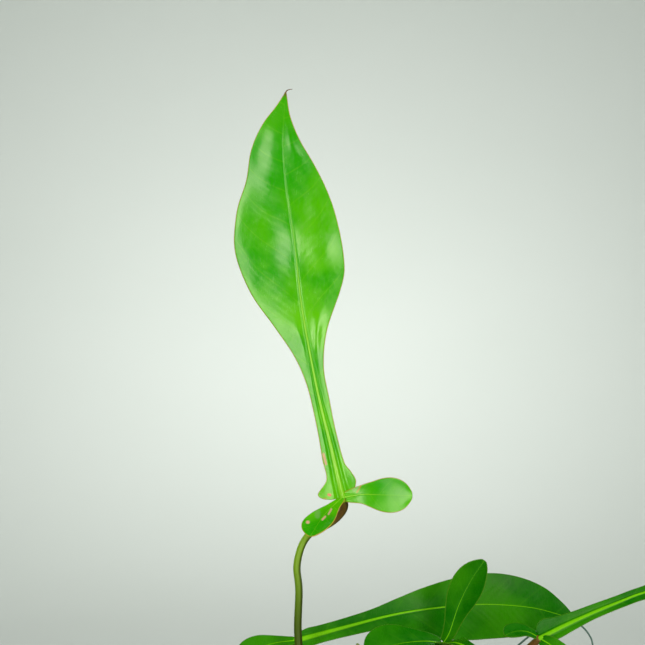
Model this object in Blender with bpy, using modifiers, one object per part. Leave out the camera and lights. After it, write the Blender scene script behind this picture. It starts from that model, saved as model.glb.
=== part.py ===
"""Potted philodendron: a terracotta pot, soil, roots, a short stem and seven lobed leaves.

Units are metres and +Z is up. The origin is the centre of the pot's flat base. The plant's own
points have their height measured from the soil's surface, so the plant follows the pot.
"""

import math

import bmesh
import bpy
from mathutils import Vector

# Pot
POT_HEIGHT = 0.120
POT_BASE_RADIUS = 0.044
POT_RIM_RADIUS = 0.065
POT_RIM_HEIGHT = 0.026
POT_RIM_STEP = 0.0075  # how far the rim band stands out from the body below it
POT_WALL = 0.0055
POT_FLOOR = 0.007
POT_EDGE = 0.002  # rounding of the rim and of the foot
DRAIN_HOLES = 3
DRAIN_HOLE_RADIUS = 0.005
DRAIN_HOLE_CIRCLE = 0.024

# Soil and roots
SOIL_DROP = 0.015  # from the pot's lip down to the soil
SOIL_DOME = 0.003  # how much the soil rises round the stem
ROOTS = 6
ROOT_RADIUS = 0.0014
ROOT_WALL_SPACE = 0.006  # from a root's end to the pot's wall
ROOT_CROWN_RADIUS = 0.0062
STEM_DEPTH = 0.020  # how far the stem reaches into the soil

# Plant
STEM_RADIUS = 0.0055
STEM_NODE_SWELL = 0.0010
PETIOLE_RADIUS = 0.0019
PETIOLE_BASE_RADIUS = 0.0026
LEAF_THICKNESS = 0.0009
KNOB_SWELL = 0.0015  # how far the knob between petiole and blade stands proud of the petiole
EAR_START = 0.0009  # from the middle of the knob to where an ear's midrib starts
AERIAL_ROOT_RADIUS = 0.0011
THREAD_ROOT_RADIUS = 0.0006
SHEATH_THICKNESS = 0.0007
SHEATH_FLARE = 0.004  # how far a dry sheath's tip stands off the stem
SPEAR_RADIUS = 0.0032
SPEAR_SEAT = 0.0008  # from the stem's top to the foot of the rolled leaf

# Clearances
GAP = 0.0003
ROOT_GAP = 0.0004

# Mesh fineness
TURN_STEPS = 40
CORNER_STEPS = 2
LOBE_ROWS = 16
LOBE_COLUMNS = 4
EAR_ROWS = 7
EAR_COLUMNS = 4
TUBE_POINTS = 12
CURVE_STEPS = 24
STEM_POINTS = 38
ROOT_POINTS = 7
SHEATH_ROWS = 8
SHEATH_COLUMNS = 6
WELD = 0.00001
THIN_SHEETS = "MANIFOLD"  # the solver that joins closed thin lobes which cross at a knob

KNOB_RADIUS = PETIOLE_RADIUS + KNOB_SWELL
SOIL_LEVEL = POT_HEIGHT - SOIL_DROP
PLANT = Vector((0, 0, SOIL_LEVEL))
UP = Vector((0, 0, 1))

# Outlines of a lobe: (share of its length, share of its half width)
LOBE_OUTLINE = [
    (0, 0.11), (0.035, 0.34), (0.08, 0.24), (0.16, 0.19), (0.27, 0.21), (0.36, 0.38), (0.47, 0.75),
    (0.57, 0.97), (0.65, 1), (0.75, 0.9), (0.85, 0.64), (0.93, 0.32), (0.98, 0.08), (1, 0),
]
EAR_OUTLINE = [
    (0, 0.22), (0.22, 0.5), (0.38, 0.71), (0.53, 0.92), (0.67, 1), (0.78, 0.94), (0.88, 0.75),
    (0.96, 0.42), (1, 0),
]
# The top leaf's margins differ: a tooth on the left of its base and a rounded bump on the right.
TOP_LEFT_OUTLINE = [
    (0, 0.08), (0.02, 0.4), (0.05, 0.2), (0.1, 0.19), (0.22, 0.145), (0.29, 0.165), (0.36, 0.28),
    (0.44, 0.53), (0.52, 0.83), (0.6, 1), (0.66, 1.01), (0.72, 0.9), (0.79, 0.67), (0.86, 0.55),
    (0.92, 0.35), (0.96, 0.16), (0.99, 0.04), (1, 0),
]
TOP_RIGHT_OUTLINE = [
    (0, 0.08), (0.03, 0.28), (0.055, 0.24), (0.08, 0.165), (0.16, 0.145), (0.24, 0.17), (0.32, 0.19),
    (0.4, 0.34), (0.5, 0.68), (0.56, 0.8), (0.68, 0.76), (0.75, 0.68), (0.82, 0.5), (0.88, 0.29),
    (0.94, 0.11), (0.98, 0.04), (1, 0),
]
# The side leaf widens slowly and more on its lower side, and the right leaf has a long waist.
SIDE_UPPER_OUTLINE = [
    (0, 0.12), (0.04, 0.26), (0.09, 0.25), (0.18, 0.26), (0.28, 0.31), (0.37, 0.45), (0.47, 0.64),
    (0.57, 0.81), (0.68, 0.91), (0.78, 0.83), (0.87, 0.63), (0.94, 0.35), (0.985, 0.1), (1, 0),
]
SIDE_LOWER_OUTLINE = [
    (0, 0.12), (0.04, 0.26), (0.09, 0.26), (0.18, 0.28), (0.28, 0.34), (0.37, 0.53), (0.47, 0.83),
    (0.57, 1.02), (0.68, 1.02), (0.78, 0.9), (0.87, 0.68), (0.94, 0.37), (0.985, 0.1), (1, 0),
]
RIGHT_UPPER_OUTLINE = [
    (0, 0.2), (0.03, 0.4), (0.07, 0.31), (0.12, 0.25), (0.17, 0.22), (0.28, 0.18), (0.36, 0.2),
    (0.43, 0.38), (0.52, 0.76), (0.6, 0.96), (0.68, 1), (0.77, 0.88), (0.86, 0.61), (0.94, 0.27), (1, 0),
]
RIGHT_LOWER_OUTLINE = [
    (0, 0.16), (0.05, 0.25), (0.11, 0.22), (0.17, 0.18), (0.28, 0.18), (0.36, 0.22), (0.43, 0.4),
    (0.52, 0.76), (0.6, 0.96), (0.68, 1), (0.77, 0.88), (0.86, 0.61), (0.94, 0.27), (1, 0),
]

# Where each petiole leaves the stem: height above the soil
TOP_NODE = 0.078
FRONT_NODE = 0.070
SIDE_NODE = 0.064
RIGHT_NODE = 0.056
RIGHT_BACK_NODE = 0.047
LEFT_BACK_NODE = 0.038
LEFT_FRONT_NODE = 0.029
STEM_NODES = [0.010, 0.019, LEFT_FRONT_NODE, LEFT_BACK_NODE, RIGHT_BACK_NODE, RIGHT_NODE,
              SIDE_NODE, FRONT_NODE, TOP_NODE]
STEM_TOP = 0.086
STEM_PATH = [(0, 0, -STEM_DEPTH), (0, 0, 0), (0.0015, 0.001, 0.022), (-0.001, 0.002, 0.045),
             (0.0005, 0.003, 0.068), (0, 0.004, STEM_TOP)]
SPEAR_PATH = [(0, 0.004, 0.089), (-0.0025, 0.0035, 0.100), (-0.011, 0.002, 0.122),
              (-0.0215, 0.001, 0.1458)]


def ear(path, facing, half_width=0.0088, fold=14):
    """One of the two small lobes at a leaf's base; the junction is its path's missing first point."""
    return {"path": path, "facing": facing, "half_width": half_width, "fold": fold}


# Each leaf: the midrib from the junction to the tip, the way its upper face looks along the midrib,
# the half width, the fold along the midrib in degrees, the ears, and the petiole's way from the
# stem's axis up to the junction, which is left out of it.
LEAVES = {
    "top": {
        "midrib": [(-0.0286, -0.004, 0.2194), (-0.031, -0.004, 0.229), (-0.0353, -0.001, 0.2476),
                   (-0.0405, 0.004, 0.2683), (-0.0454, 0.008, 0.2924), (-0.0497, 0.010, 0.3176),
                   (-0.0532, 0.011, 0.3491), (-0.0567, 0.009, 0.3707), (-0.0586, 0.005, 0.3981),
                   (-0.0572, -0.001, 0.4222)],
        "facing": [(0.05, -1, 0.05)],
        "half_width": 0.0300,
        "left": TOP_LEFT_OUTLINE,
        "right": TOP_RIGHT_OUTLINE,
        "fold": 9,
        "ears": [
            ear([(-0.0191, -0.006, 0.2211), (-0.0093, -0.008, 0.2209), (0.006, -0.009, 0.2205)],
                [(0, -1, 0.15)], fold=5),
            ear([(-0.0341, -0.011, 0.2153), (-0.039, -0.018, 0.2107), (-0.0445, -0.028, 0.2032)],
                [(-0.35, -0.65, 0.65)], half_width=0.0086, fold=12),
        ],
        "petiole": [(0, 0.004, TOP_NODE), (-0.012, 0.004, 0.090), (-0.034, 0.003, 0.110),
                    (-0.048, 0.003, 0.130), (-0.051, 0.003, 0.1500), (-0.0505, 0.002, 0.1727),
                    (-0.0515, 0.002, 0.1842), (-0.049, 0.003, 0.1947), (-0.044, 0.005, 0.201),
                    (-0.036, 0.0065, 0.2045), (-0.0305, 0.006, 0.2090), (-0.0278, 0.003, 0.2140)],
    },
    "side": {
        "midrib": [(-0.052, 0.030, 0.1416), (-0.0276, 0.031, 0.1481), (-0.001, 0.033, 0.1545),
                   (0.0231, 0.036, 0.1576), (0.0476, 0.040, 0.1585), (0.0707, 0.044, 0.1562),
                   (0.0857, 0.046, 0.1522), (0.0959, 0.047, 0.1488)],
        "facing": [(0, -1, 0.4)],
        "half_width": 0.0182,
        "left": SIDE_UPPER_OUTLINE,
        "right": SIDE_LOWER_OUTLINE,
        "fold": 6,
        "ears": [
            ear([(-0.0633, 0.028, 0.1405), (-0.0736, 0.026, 0.1375), (-0.083, 0.023, 0.1315)],
                [(0, -0.7, 0.8)], half_width=0.0078),
            ear([(-0.0600, 0.0355, 0.1370), (-0.0668, 0.0400, 0.1280), (-0.0720, 0.0425, 0.1175)],
                [(-0.5, -0.8, 0.2)]),
        ],
        "petiole": [(0, 0.004, SIDE_NODE), (-0.010, 0.012, 0.076), (-0.028, 0.026, 0.101),
                    (-0.042, 0.033, 0.124), (-0.048, 0.033, 0.134)],
    },
    "front": {
        "midrib": [(0.0218, 0.004, 0.1452), (0.031, -0.012, 0.1470), (0.050, -0.045, 0.136),
                   (0.070, -0.076, 0.108), (0.086, -0.100, 0.072), (0.095, -0.113, 0.034)],
        "facing": [(-0.1, 0.1, 1)],
        "half_width": 0.0240,
        "fold": 12,
        "ears": [
            ear([(0.0250, 0.003, 0.1509), (0.0295, 0.002, 0.1646), (0.0355, 0.000, 0.1775),
                 (0.0420, -0.003, 0.1880)],
                [(-0.15, -1, 0.2)], half_width=0.0105, fold=38),
            ear([(0.0124, -0.002, 0.1474), (0.0006, -0.009, 0.1478), (-0.0091, -0.015, 0.1465),
                 (-0.0175, -0.020, 0.144)],
                [(-0.1, -0.75, 0.65)], half_width=0.0120, fold=8),
        ],
        "petiole": [(0, 0.004, FRONT_NODE), (0.007, 0.003, 0.084), (0.0125, 0.005, 0.108),
                    (0.0185, 0.006, 0.133)],
    },
    "right": {
        "midrib": [(0.0708, 0.006, 0.1473), (0.0825, 0.005, 0.1536), (0.0965, 0.003, 0.1605),
                   (0.1105, 0.000, 0.167), (0.1221, -0.002, 0.1718), (0.150, -0.008, 0.180),
                   (0.180, -0.016, 0.180), (0.204, -0.024, 0.169), (0.219, -0.030, 0.152)],
        "facing": [(-0.2, -0.85, 0.6), (0.1, -0.75, 0.75)],
        "half_width": 0.0205,
        "left": RIGHT_UPPER_OUTLINE,
        "right": RIGHT_LOWER_OUTLINE,
        "fold": 10,
        "ears": [
            ear([(0.0650, 0.0085, 0.1500), (0.059, 0.0085, 0.1503), (0.0532, 0.006, 0.1487)],
                [(-0.1, -0.45, 0.9)], half_width=0.0062),
            ear([(0.0765, 0.000, 0.1440), (0.0795, -0.006, 0.137), (0.0785, -0.013, 0.124)],
                [(0.1, -1, 0.2)], half_width=0.0098),
        ],
        "petiole": [(0, 0.004, RIGHT_NODE), (0.012, 0.004, 0.070), (0.034, 0.007, 0.098),
                    (0.056, 0.012, 0.128), (0.065, 0.012, 0.140)],
    },
    "left_front": {
        "midrib": [(-0.062, -0.052, 0.083), (-0.087, -0.075, 0.083), (-0.117, -0.101, 0.062),
                   (-0.139, -0.119, 0.028), (-0.150, -0.128, -0.010)],
        "facing": [(0, 0, 1)],
        "half_width": 0.0215,
        "fold": 12,
        "petiole": [(0, 0.002, LEFT_FRONT_NODE), (-0.010, -0.006, 0.042), (-0.036, -0.029, 0.064),
                    (-0.0588, -0.0492, 0.0755)],
    },
    "right_back": {
        "midrib": [(0.058, 0.062, 0.105), (0.087, 0.087, 0.107), (0.121, 0.110, 0.089),
                   (0.149, 0.128, 0.055), (0.163, 0.138, 0.014)],
        "facing": [(0, 0, 1)],
        "half_width": 0.0225,
        "fold": 12,
        "petiole": [(0, 0.004, RIGHT_BACK_NODE), (0.010, 0.014, 0.061), (0.035, 0.039, 0.084),
                    (0.0545, 0.0585, 0.0975)],
    },
    "left_back": {
        "midrib": [(-0.048, 0.060, 0.098), (-0.073, 0.088, 0.100), (-0.103, 0.115, 0.083),
                   (-0.127, 0.137, 0.049), (-0.140, 0.149, 0.010)],
        "facing": [(0, 0, 1)],
        "half_width": 0.0215,
        "fold": 12,
        "petiole": [(0, 0.004, LEFT_BACK_NODE), (-0.008, 0.014, 0.052), (-0.029, 0.038, 0.077),
                    (-0.0450, 0.0563, 0.0905)],
    },
}
HANGING_EAR_LENGTH = 0.032

# Roots that grow in the air from the stem: their way from the stem's axis, and their radius
AERIAL_ROOTS = {
    "aerial_root_left": ([(0, 0, 0.022), (-0.011, -0.001, 0.021), (-0.022, -0.003, 0.011),
                          (-0.027, -0.005, -0.004), (-0.029, -0.006, -0.014)], AERIAL_ROOT_RADIUS),
    "aerial_root_front": ([(0, 0.002, 0.042), (0.009, -0.010, 0.039), (0.019, -0.023, 0.020),
                           (0.023, -0.029, 0.000), (0.024, -0.031, -0.012)], AERIAL_ROOT_RADIUS),
    "aerial_root_long": ([(0, 0.004, 0.060), (0.016, 0.015, 0.082), (0.040, 0.023, 0.118),
                          (0.066, 0.026, 0.143), (0.082, 0.024, 0.1525), (0.0915, 0.022, 0.1522),
                          (0.0981, 0.022, 0.1462), (0.1002, 0.022, 0.1390),
                          (0.1005, 0.021, 0.122), (0.098, 0.020, 0.105)], THREAD_ROOT_RADIUS),
}

# Dry sheaths round the stem: middle direction and spread in degrees, foot height, length
SHEATHS = {
    "dry_sheath_right": (-20, 50, 0.004, 0.026),
    "dry_sheath_back": (105, 48, 0.006, 0.030),
    "dry_sheath_front": (235, 42, 0.002, 0.022),
}

COLOURS = {  # Principled base colour and roughness
    "pot": ((0.55, 0.24, 0.13), 0.85),
    "soil": ((0.06, 0.04, 0.028), 0.95),
    "root": ((0.55, 0.45, 0.30), 0.8),
    "stem": ((0.20, 0.27, 0.08), 0.6),
    "petiole": ((0.12, 0.20, 0.05), 0.45),
    "top_leaf": ((0.08, 0.42, 0.01), 0.35),
    "leaf": ((0.03, 0.16, 0.008), 0.35),
    "sheath": ((0.25, 0.15, 0.07), 0.8),
    "spear": ((0.25, 0.45, 0.06), 0.45),
}


def clear_scene():
    for obj in list(bpy.data.objects):
        bpy.data.objects.remove(obj, do_unlink=True)


def new_collection(name):
    collection = bpy.data.collections.new(name)
    bpy.context.scene.collection.children.link(collection)
    return collection


def paint(obj, look):
    """Gives the object its own Principled material."""
    colour, roughness = COLOURS[look]
    material = bpy.data.materials.new(obj.name)
    material.use_nodes = True
    shader = material.node_tree.nodes["Principled BSDF"]
    shader.inputs["Base Color"].default_value = (*colour, 1)
    shader.inputs["Roughness"].default_value = roughness
    shader.inputs["Metallic"].default_value = 0
    obj.data.materials.clear()
    obj.data.materials.append(material)


def add_part(name, mesh, look):
    obj = bpy.data.objects.new(name, mesh)
    parts.objects.link(obj)
    paint(obj, look)
    mesh.shade_smooth()
    return obj


def add_helper(name, mesh):
    """A cutter, or a lobe that a Boolean joins to its blade."""
    obj = bpy.data.objects.new(name, mesh)
    helpers.objects.link(obj)
    obj.hide_render = True
    obj.display_type = "WIRE"
    return obj


def boolean(obj, other, operation, solver="EXACT"):
    modifier = obj.modifiers.new(f"{operation.lower()} {other.name}", "BOOLEAN")
    modifier.operation = operation
    modifier.object = other
    modifier.solver = solver


def mesh_from(bm, name):
    mesh = bpy.data.meshes.new(name)
    bm.to_mesh(mesh)
    bm.free()
    return mesh


def in_plant(points):
    return [Vector(point) + PLANT for point in points]


def smooth_path(points, count):
    """count points, evenly spaced on the Catmull-Rom curve through the given ones."""
    ends = [2 * points[0] - points[1], *points, 2 * points[-1] - points[-2]]
    dense = []
    for a, b, c, d in zip(ends, ends[1:], ends[2:], ends[3:]):
        for step in range(CURVE_STEPS):
            t = step / CURVE_STEPS
            dense.append(0.5 * (2 * b + (c - a) * t + (2 * a - 5 * b + 4 * c - d) * t * t
                                + (3 * b - a - 3 * c + d) * t**3))
    dense.append(points[-1])
    run = [0]
    for first, second in zip(dense, dense[1:]):
        run.append(run[-1] + (second - first).length)
    placed = []
    here = 0
    for index in range(count):
        goal = run[-1] * index / (count - 1)
        while here < len(run) - 2 and run[here + 1] < goal:
            here += 1
        share = (goal - run[here]) / (run[here + 1] - run[here])
        placed.append(dense[here].lerp(dense[here + 1], min(share, 1)))
    return placed


def along(values, share):
    """The value at this share of a list's length, straight between its entries."""
    place = share * (len(values) - 1)
    first = min(int(place), len(values) - 1)
    second = min(first + 1, len(values) - 1)
    return values[first].lerp(values[second], place - first)


def half_width(outline, share):
    """A smooth curve through the outline, taken over the angle that makes round ends round."""
    angles = [math.acos(1 - 2 * place) for place, _ in outline]
    widths = [width for _, width in outline]
    angle = math.acos(1 - 2 * share)
    index = max(i for i in range(len(angles) - 1) if angles[i] <= angle + 1e-9)

    def slope(i):
        low = max(i - 1, 0)
        high = min(i + 1, len(angles) - 1)
        return (widths[high] - widths[low]) / (angles[high] - angles[low])

    span = angles[index + 1] - angles[index]
    t = (angle - angles[index]) / span
    start = (2 * t**3 - 3 * t**2 + 1) * widths[index] + (t**3 - 2 * t**2 + t) * span * slope(index)
    end = (3 * t**2 - 2 * t**3) * widths[index + 1] + (t**3 - t**2) * span * slope(index + 1)
    return max(start + end, 0)


def turned(name, profile, make, **settings):
    """A solid of revolution; the profile runs from the axis, up inside, and down its outer side."""
    bm = bmesh.new()
    verts = [bm.verts.new((radius, 0, height)) for radius, height in profile]
    for first, second in zip(verts, verts[1:]):
        bm.edges.new((first, second))
    obj = make(name, mesh_from(bm, name), **settings)
    screw = obj.modifiers.new("turn", "SCREW")
    screw.steps = TURN_STEPS
    screw.render_steps = TURN_STEPS
    screw.use_merge_vertices = True
    screw.merge_threshold = WELD
    return obj


def rounded(corners):
    """The outline through (radius, height, rounding) corners, with an arc at each rounded one."""
    outline = []
    for index, (radius, height, rounding) in enumerate(corners):
        corner = Vector((radius, height))
        if rounding == 0:
            outline.append(corner)
            continue
        before = (Vector(corners[index - 1][:2]) - corner).normalized()
        after = (Vector(corners[index + 1][:2]) - corner).normalized()
        reach = rounding / math.tan(before.angle(after) / 2)
        start = corner + before * reach
        end = corner + after * reach
        for step in range(CORNER_STEPS + 1):
            t = step / CORNER_STEPS
            outline.append(start.lerp(corner, t).lerp(corner.lerp(end, t), t))
    return outline


def tube_mesh(name, path, radii, points=TUBE_POINTS):
    """A tapering round tube with welded caps, as a mesh that Booleans can use."""
    curve = bpy.data.curves.new(name, "CURVE")
    curve.dimensions = "3D"
    curve.bevel_depth = 1
    curve.bevel_resolution = 2
    curve.use_fill_caps = True
    spline = curve.splines.new("POLY")
    spline.points.add(points - 1)
    for index, place in enumerate(smooth_path(path, points)):
        spline.points[index].co = (*place, 1)
        spline.points[index].radius = radii(index / (points - 1))
    obj = bpy.data.objects.new(name, curve)
    helpers.objects.link(obj)
    graph = bpy.context.evaluated_depsgraph_get()
    mesh = bpy.data.meshes.new_from_object(obj.evaluated_get(graph))
    bpy.data.objects.remove(obj)
    bm = bmesh.new()
    bm.from_mesh(mesh)
    bmesh.ops.remove_doubles(bm, verts=bm.verts, dist=WELD)
    bmesh.ops.recalc_face_normals(bm, faces=bm.faces)
    bpy.data.meshes.remove(mesh)
    return mesh_from(bm, name)


def ball_mesh(name, centre, radius):
    bm = bmesh.new()
    bmesh.ops.create_uvsphere(bm, u_segments=12, v_segments=8, radius=radius)
    bmesh.ops.translate(bm, verts=bm.verts, vec=centre)
    return mesh_from(bm, name)


def make_pot():
    inner_foot = POT_BASE_RADIUS - POT_WALL
    inner_lip = POT_RIM_RADIUS - 1.5 * POT_WALL
    shoulder = POT_HEIGHT - POT_RIM_HEIGHT
    profile = rounded([
        (0, POT_FLOOR, 0),
        (inner_foot, POT_FLOOR, POT_EDGE),
        (inner_lip, POT_HEIGHT, POT_EDGE),
        (POT_RIM_RADIUS, POT_HEIGHT, POT_EDGE),
        (POT_RIM_RADIUS - POT_EDGE, shoulder, POT_EDGE / 2),
        (POT_RIM_RADIUS - POT_RIM_STEP, shoulder, 0),
        (POT_BASE_RADIUS, 0, POT_EDGE),
        (0, 0, 0),
    ])
    pot = turned("pot", profile, add_part, look="pot")
    for index in range(DRAIN_HOLES):
        turn = 2 * math.pi * index / DRAIN_HOLES
        bm = bmesh.new()
        bmesh.ops.create_cone(bm, cap_ends=True, segments=16, radius1=DRAIN_HOLE_RADIUS,
                              radius2=DRAIN_HOLE_RADIUS, depth=3 * POT_FLOOR)
        centre = (DRAIN_HOLE_CIRCLE * math.cos(turn), DRAIN_HOLE_CIRCLE * math.sin(turn), 0)
        bmesh.ops.translate(bm, verts=bm.verts, vec=centre)
        boolean(pot, add_helper(f"drain_hole_{index}", mesh_from(bm, "drain_hole")), "DIFFERENCE")


def pot_inside(height):
    """The radius of the pot's inner wall at this height."""
    inner_foot = POT_BASE_RADIUS - POT_WALL
    inner_lip = POT_RIM_RADIUS - 1.5 * POT_WALL
    return inner_foot + (inner_lip - inner_foot) * (height - POT_FLOOR) / (POT_HEIGHT - POT_FLOOR)


def root_paths():
    """The roots' ways out from the crown, down into the soil and short of the pot's wall."""
    crown = Vector((0, 0, SOIL_LEVEL - STEM_DEPTH - GAP - ROOT_CROWN_RADIUS))
    depth = crown.z - POT_FLOOR
    paths = []
    for index in range(ROOTS):
        turn = 2 * math.pi * (index + 0.3 * math.sin(2.4 * index)) / ROOTS
        drop = depth * (0.55 + 0.3 * (index % 3) / 2)
        reach = pot_inside(crown.z - drop) - ROOT_WALL_SPACE - POT_EDGE
        out = Vector((math.cos(turn), math.sin(turn), 0))
        side = Vector((-out.y, out.x, 0)) * 0.15 * reach * (-1) ** index
        paths.append([crown, crown + out * 0.4 * reach - UP * 0.2 * drop,
                      crown + out * 0.8 * reach + side - UP * 0.55 * drop,
                      crown + out * reach - UP * drop])
    return crown, paths


def build_roots(name, make, extra, **settings):
    """The crown with its roots as one solid, thicker and longer by extra for the soil's hollow."""
    crown, paths = root_paths()
    body = make(name, ball_mesh(name, crown, ROOT_CROWN_RADIUS + extra), **settings)
    for index, path in enumerate(paths):
        end = path[-1] + (path[-1] - path[-2]).normalized() * extra
        taper = lambda share: ROOT_RADIUS * (1.3 - 0.7 * share) + extra
        tube = tube_mesh(f"{name}_{index}", [*path[:-1], end], taper, ROOT_POINTS)
        boolean(body, add_helper(f"{name}_{index}", tube), "UNION")
    return body


def stem_mesh(name, extra=0):
    """The stem with its swollen nodes; extra widens it and lengthens its top, for a cutter."""
    path = in_plant(STEM_PATH)
    length = STEM_TOP + STEM_DEPTH

    def radius(share):
        height = share * length - STEM_DEPTH
        swell = sum(math.exp(-((height - node) / 0.0016) ** 2) for node in STEM_NODES)
        return STEM_RADIUS * (1.04 - 0.1 * share) + STEM_NODE_SWELL * min(swell, 1) + extra

    path[0] = path[0] - UP * extra
    path[-1] = path[-1] + UP * extra
    return tube_mesh(name, path, radius, STEM_POINTS)


def make_soil(stem_space):
    floor = POT_FLOOR + GAP
    rim = SOIL_LEVEL - SOIL_DOME / 2
    foot = 1.5 * POT_EDGE  # the soil's corner stays clear of the rounding inside the pot
    side = POT_EDGE / 4
    profile = rounded([
        (0, SOIL_LEVEL + SOIL_DOME, 0),
        (0.3 * POT_RIM_RADIUS, SOIL_LEVEL + 0.8 * SOIL_DOME, 0),
        (pot_inside(rim) - GAP, rim, side),
        (pot_inside(floor + foot) - GAP, floor + foot, side),
        (pot_inside(floor) - foot - GAP, floor, 0),
        (0, floor, 0),
    ])
    soil = turned("potting_soil", profile, add_part, look="soil")
    boolean(soil, build_roots("root_space", add_helper, ROOT_GAP), "DIFFERENCE")
    boolean(soil, stem_space, "DIFFERENCE")
    for name, (path, radius) in AERIAL_ROOTS.items():
        if path[-1][2] < 0:
            way = in_plant(path)
            way[-1] += (way[-1] - way[-2]).normalized() * ROOT_GAP
            space = tube_mesh(f"{name}_space", way, lambda _, r=radius: r + ROOT_GAP)
            boolean(soil, add_helper(f"{name}_space", space), "DIFFERENCE")


def sheet_mesh(name, place, rows, columns):
    """An open surface through place(row, column), whose last row is its pointed tip."""
    bm = bmesh.new()
    grid = [[bm.verts.new(place(row, column)) for column in range(columns + 1)] for row in range(rows)]
    grid.append([bm.verts.new(place(rows, columns // 2))] * (columns + 1))
    for first, second in zip(grid, grid[1:]):
        for column in range(columns):
            corners = [first[column], first[column + 1], second[column + 1], second[column]]
            bm.faces.new(dict.fromkeys(corners))
    return mesh_from(bm, name)


def lobe_mesh(name, midrib, facing, half, left, right, fold, rows, columns):
    """An open surface: rows across a curved midrib, with the two halves raised by the fold."""
    places = smooth_path(midrib, rows * 4 + 1)

    def place(row, column):
        share = (1 - math.cos(math.pi * row / rows)) / 2
        here = along(places, share)
        ahead = (along(places, min(share + 0.01, 1)) - along(places, max(share - 0.01, 0))).normalized()
        side = ahead.cross(along(facing, share)).normalized()
        across = 2 * column / columns - 1
        width = half * half_width(left if across < 0 else right, share) * abs(across)
        out = side * math.copysign(math.cos(fold), across) + side.cross(ahead) * math.sin(fold)
        return here + out * width

    return sheet_mesh(name, place, rows, columns)


def thicken(obj, thickness):
    solidify = obj.modifiers.new("thickness", "SOLIDIFY")
    solidify.thickness = thickness
    solidify.offset = 0


def hanging_ears(midrib, facing):
    """The ears of a leaf that hangs outward: back and to each side of its petiole."""
    ahead = (midrib[1] - midrib[0]).normalized()
    side = ahead.cross(facing).normalized()
    above = side.cross(ahead)
    ears = []
    for way in (1, -1):
        out = (side * way * 0.85 - ahead * 0.45).normalized()
        path = [out * reach * HANGING_EAR_LENGTH + above * rise * HANGING_EAR_LENGTH
                for reach, rise in ((0.35, 0.09), (0.7, 0.1), (1, 0.0))]
        ears.append(ear(path, [above]))
    return ears


def make_leaf(name, leaf):
    midrib = in_plant(leaf["midrib"])
    facing = [Vector(look).normalized() for look in leaf["facing"]]
    blade = add_part(f"leaf_blade_{name}", lobe_mesh(
        name, midrib, facing, leaf["half_width"], leaf.get("left", LOBE_OUTLINE),
        leaf.get("right", LOBE_OUTLINE), math.radians(leaf["fold"]), LOBE_ROWS, LOBE_COLUMNS,
    ), "top_leaf" if name == "top" else "leaf")
    thicken(blade, LEAF_THICKNESS)
    if "ears" in leaf:
        ears = [{**one, "path": in_plant(one["path"])} for one in leaf["ears"]]
    else:
        ears = hanging_ears(midrib, facing[0])
        ears = [{**one, "path": [midrib[0] + point for point in one["path"]]} for one in ears]
    for index, one in enumerate(ears):
        looks = [Vector(look).normalized() for look in one["facing"]]
        start = midrib[0] + (one["path"][0] - midrib[0]).normalized() * EAR_START
        lobe = add_helper(f"{name}_ear_{index}", lobe_mesh(
            f"{name}_ear", [start, *one["path"]], looks, one["half_width"], EAR_OUTLINE,
            EAR_OUTLINE, math.radians(one["fold"]), EAR_ROWS, EAR_COLUMNS,
        ))
        thicken(lobe, LEAF_THICKNESS)
        boolean(blade, lobe, "UNION", THIN_SHEETS)
    knob = add_helper(f"{name}_knob", ball_mesh(f"{name}_knob", midrib[0], KNOB_RADIUS))
    boolean(blade, knob, "UNION", THIN_SHEETS)


def make_petiole(name, leaf, stem_space):
    junction = Vector(leaf["midrib"][0]) + PLANT
    path = [*in_plant(leaf["petiole"]), junction]
    thickness = lambda share: PETIOLE_RADIUS + (PETIOLE_BASE_RADIUS - PETIOLE_RADIUS) * (1 - share) ** 3
    points = TUBE_POINTS + 2 * max(len(path) - 6, 0)
    petiole = add_part(f"petiole_{name}", tube_mesh(name, path, thickness, points), "petiole")
    boolean(petiole, stem_space, "DIFFERENCE")
    knob_space = add_helper(f"{name}_knob_space", ball_mesh("knob_space", junction, KNOB_RADIUS + GAP))
    boolean(petiole, knob_space, "DIFFERENCE")


def make_aerial_roots(stem_space):
    for name, (path, radius) in AERIAL_ROOTS.items():
        taper = lambda share, r=radius: r * (1.15 - 0.45 * share)
        root = add_part(name, tube_mesh(name, in_plant(path), taper), "root")
        boolean(root, stem_space, "DIFFERENCE")


def make_sheath(name, middle, spread, foot, length):
    """A dry sheath: part of a cone round the stem that opens outward and ends in a point."""
    inner = STEM_RADIUS + STEM_NODE_SWELL + SHEATH_THICKNESS + 2 * GAP

    def place(row, column):
        share = row / SHEATH_ROWS
        radius = inner + SHEATH_FLARE * share**2
        reach = math.radians(spread) * math.sqrt(1 - share**3)
        turn = math.radians(middle) + reach * (2 * column / SHEATH_COLUMNS - 1)
        height = SOIL_LEVEL + SOIL_DOME + foot + length * share
        return Vector((radius * math.cos(turn), radius * math.sin(turn), height))

    sheath = add_part(name, sheet_mesh(name, place, SHEATH_ROWS, SHEATH_COLUMNS), "sheath")
    thicken(sheath, SHEATH_THICKNESS)


def make_spear():
    """The next leaf, still rolled, on the top of the stem."""
    foot = Vector(STEM_PATH[-1]) + UP * SPEAR_SEAT
    path = in_plant([foot, *map(Vector, SPEAR_PATH)])
    outline = lambda share: SPEAR_RADIUS * (0.9 + 0.3 * share - 1.05 * share**8)
    add_part("new_leaf_spear", tube_mesh("new_leaf_spear", path, outline), "spear")


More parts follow.
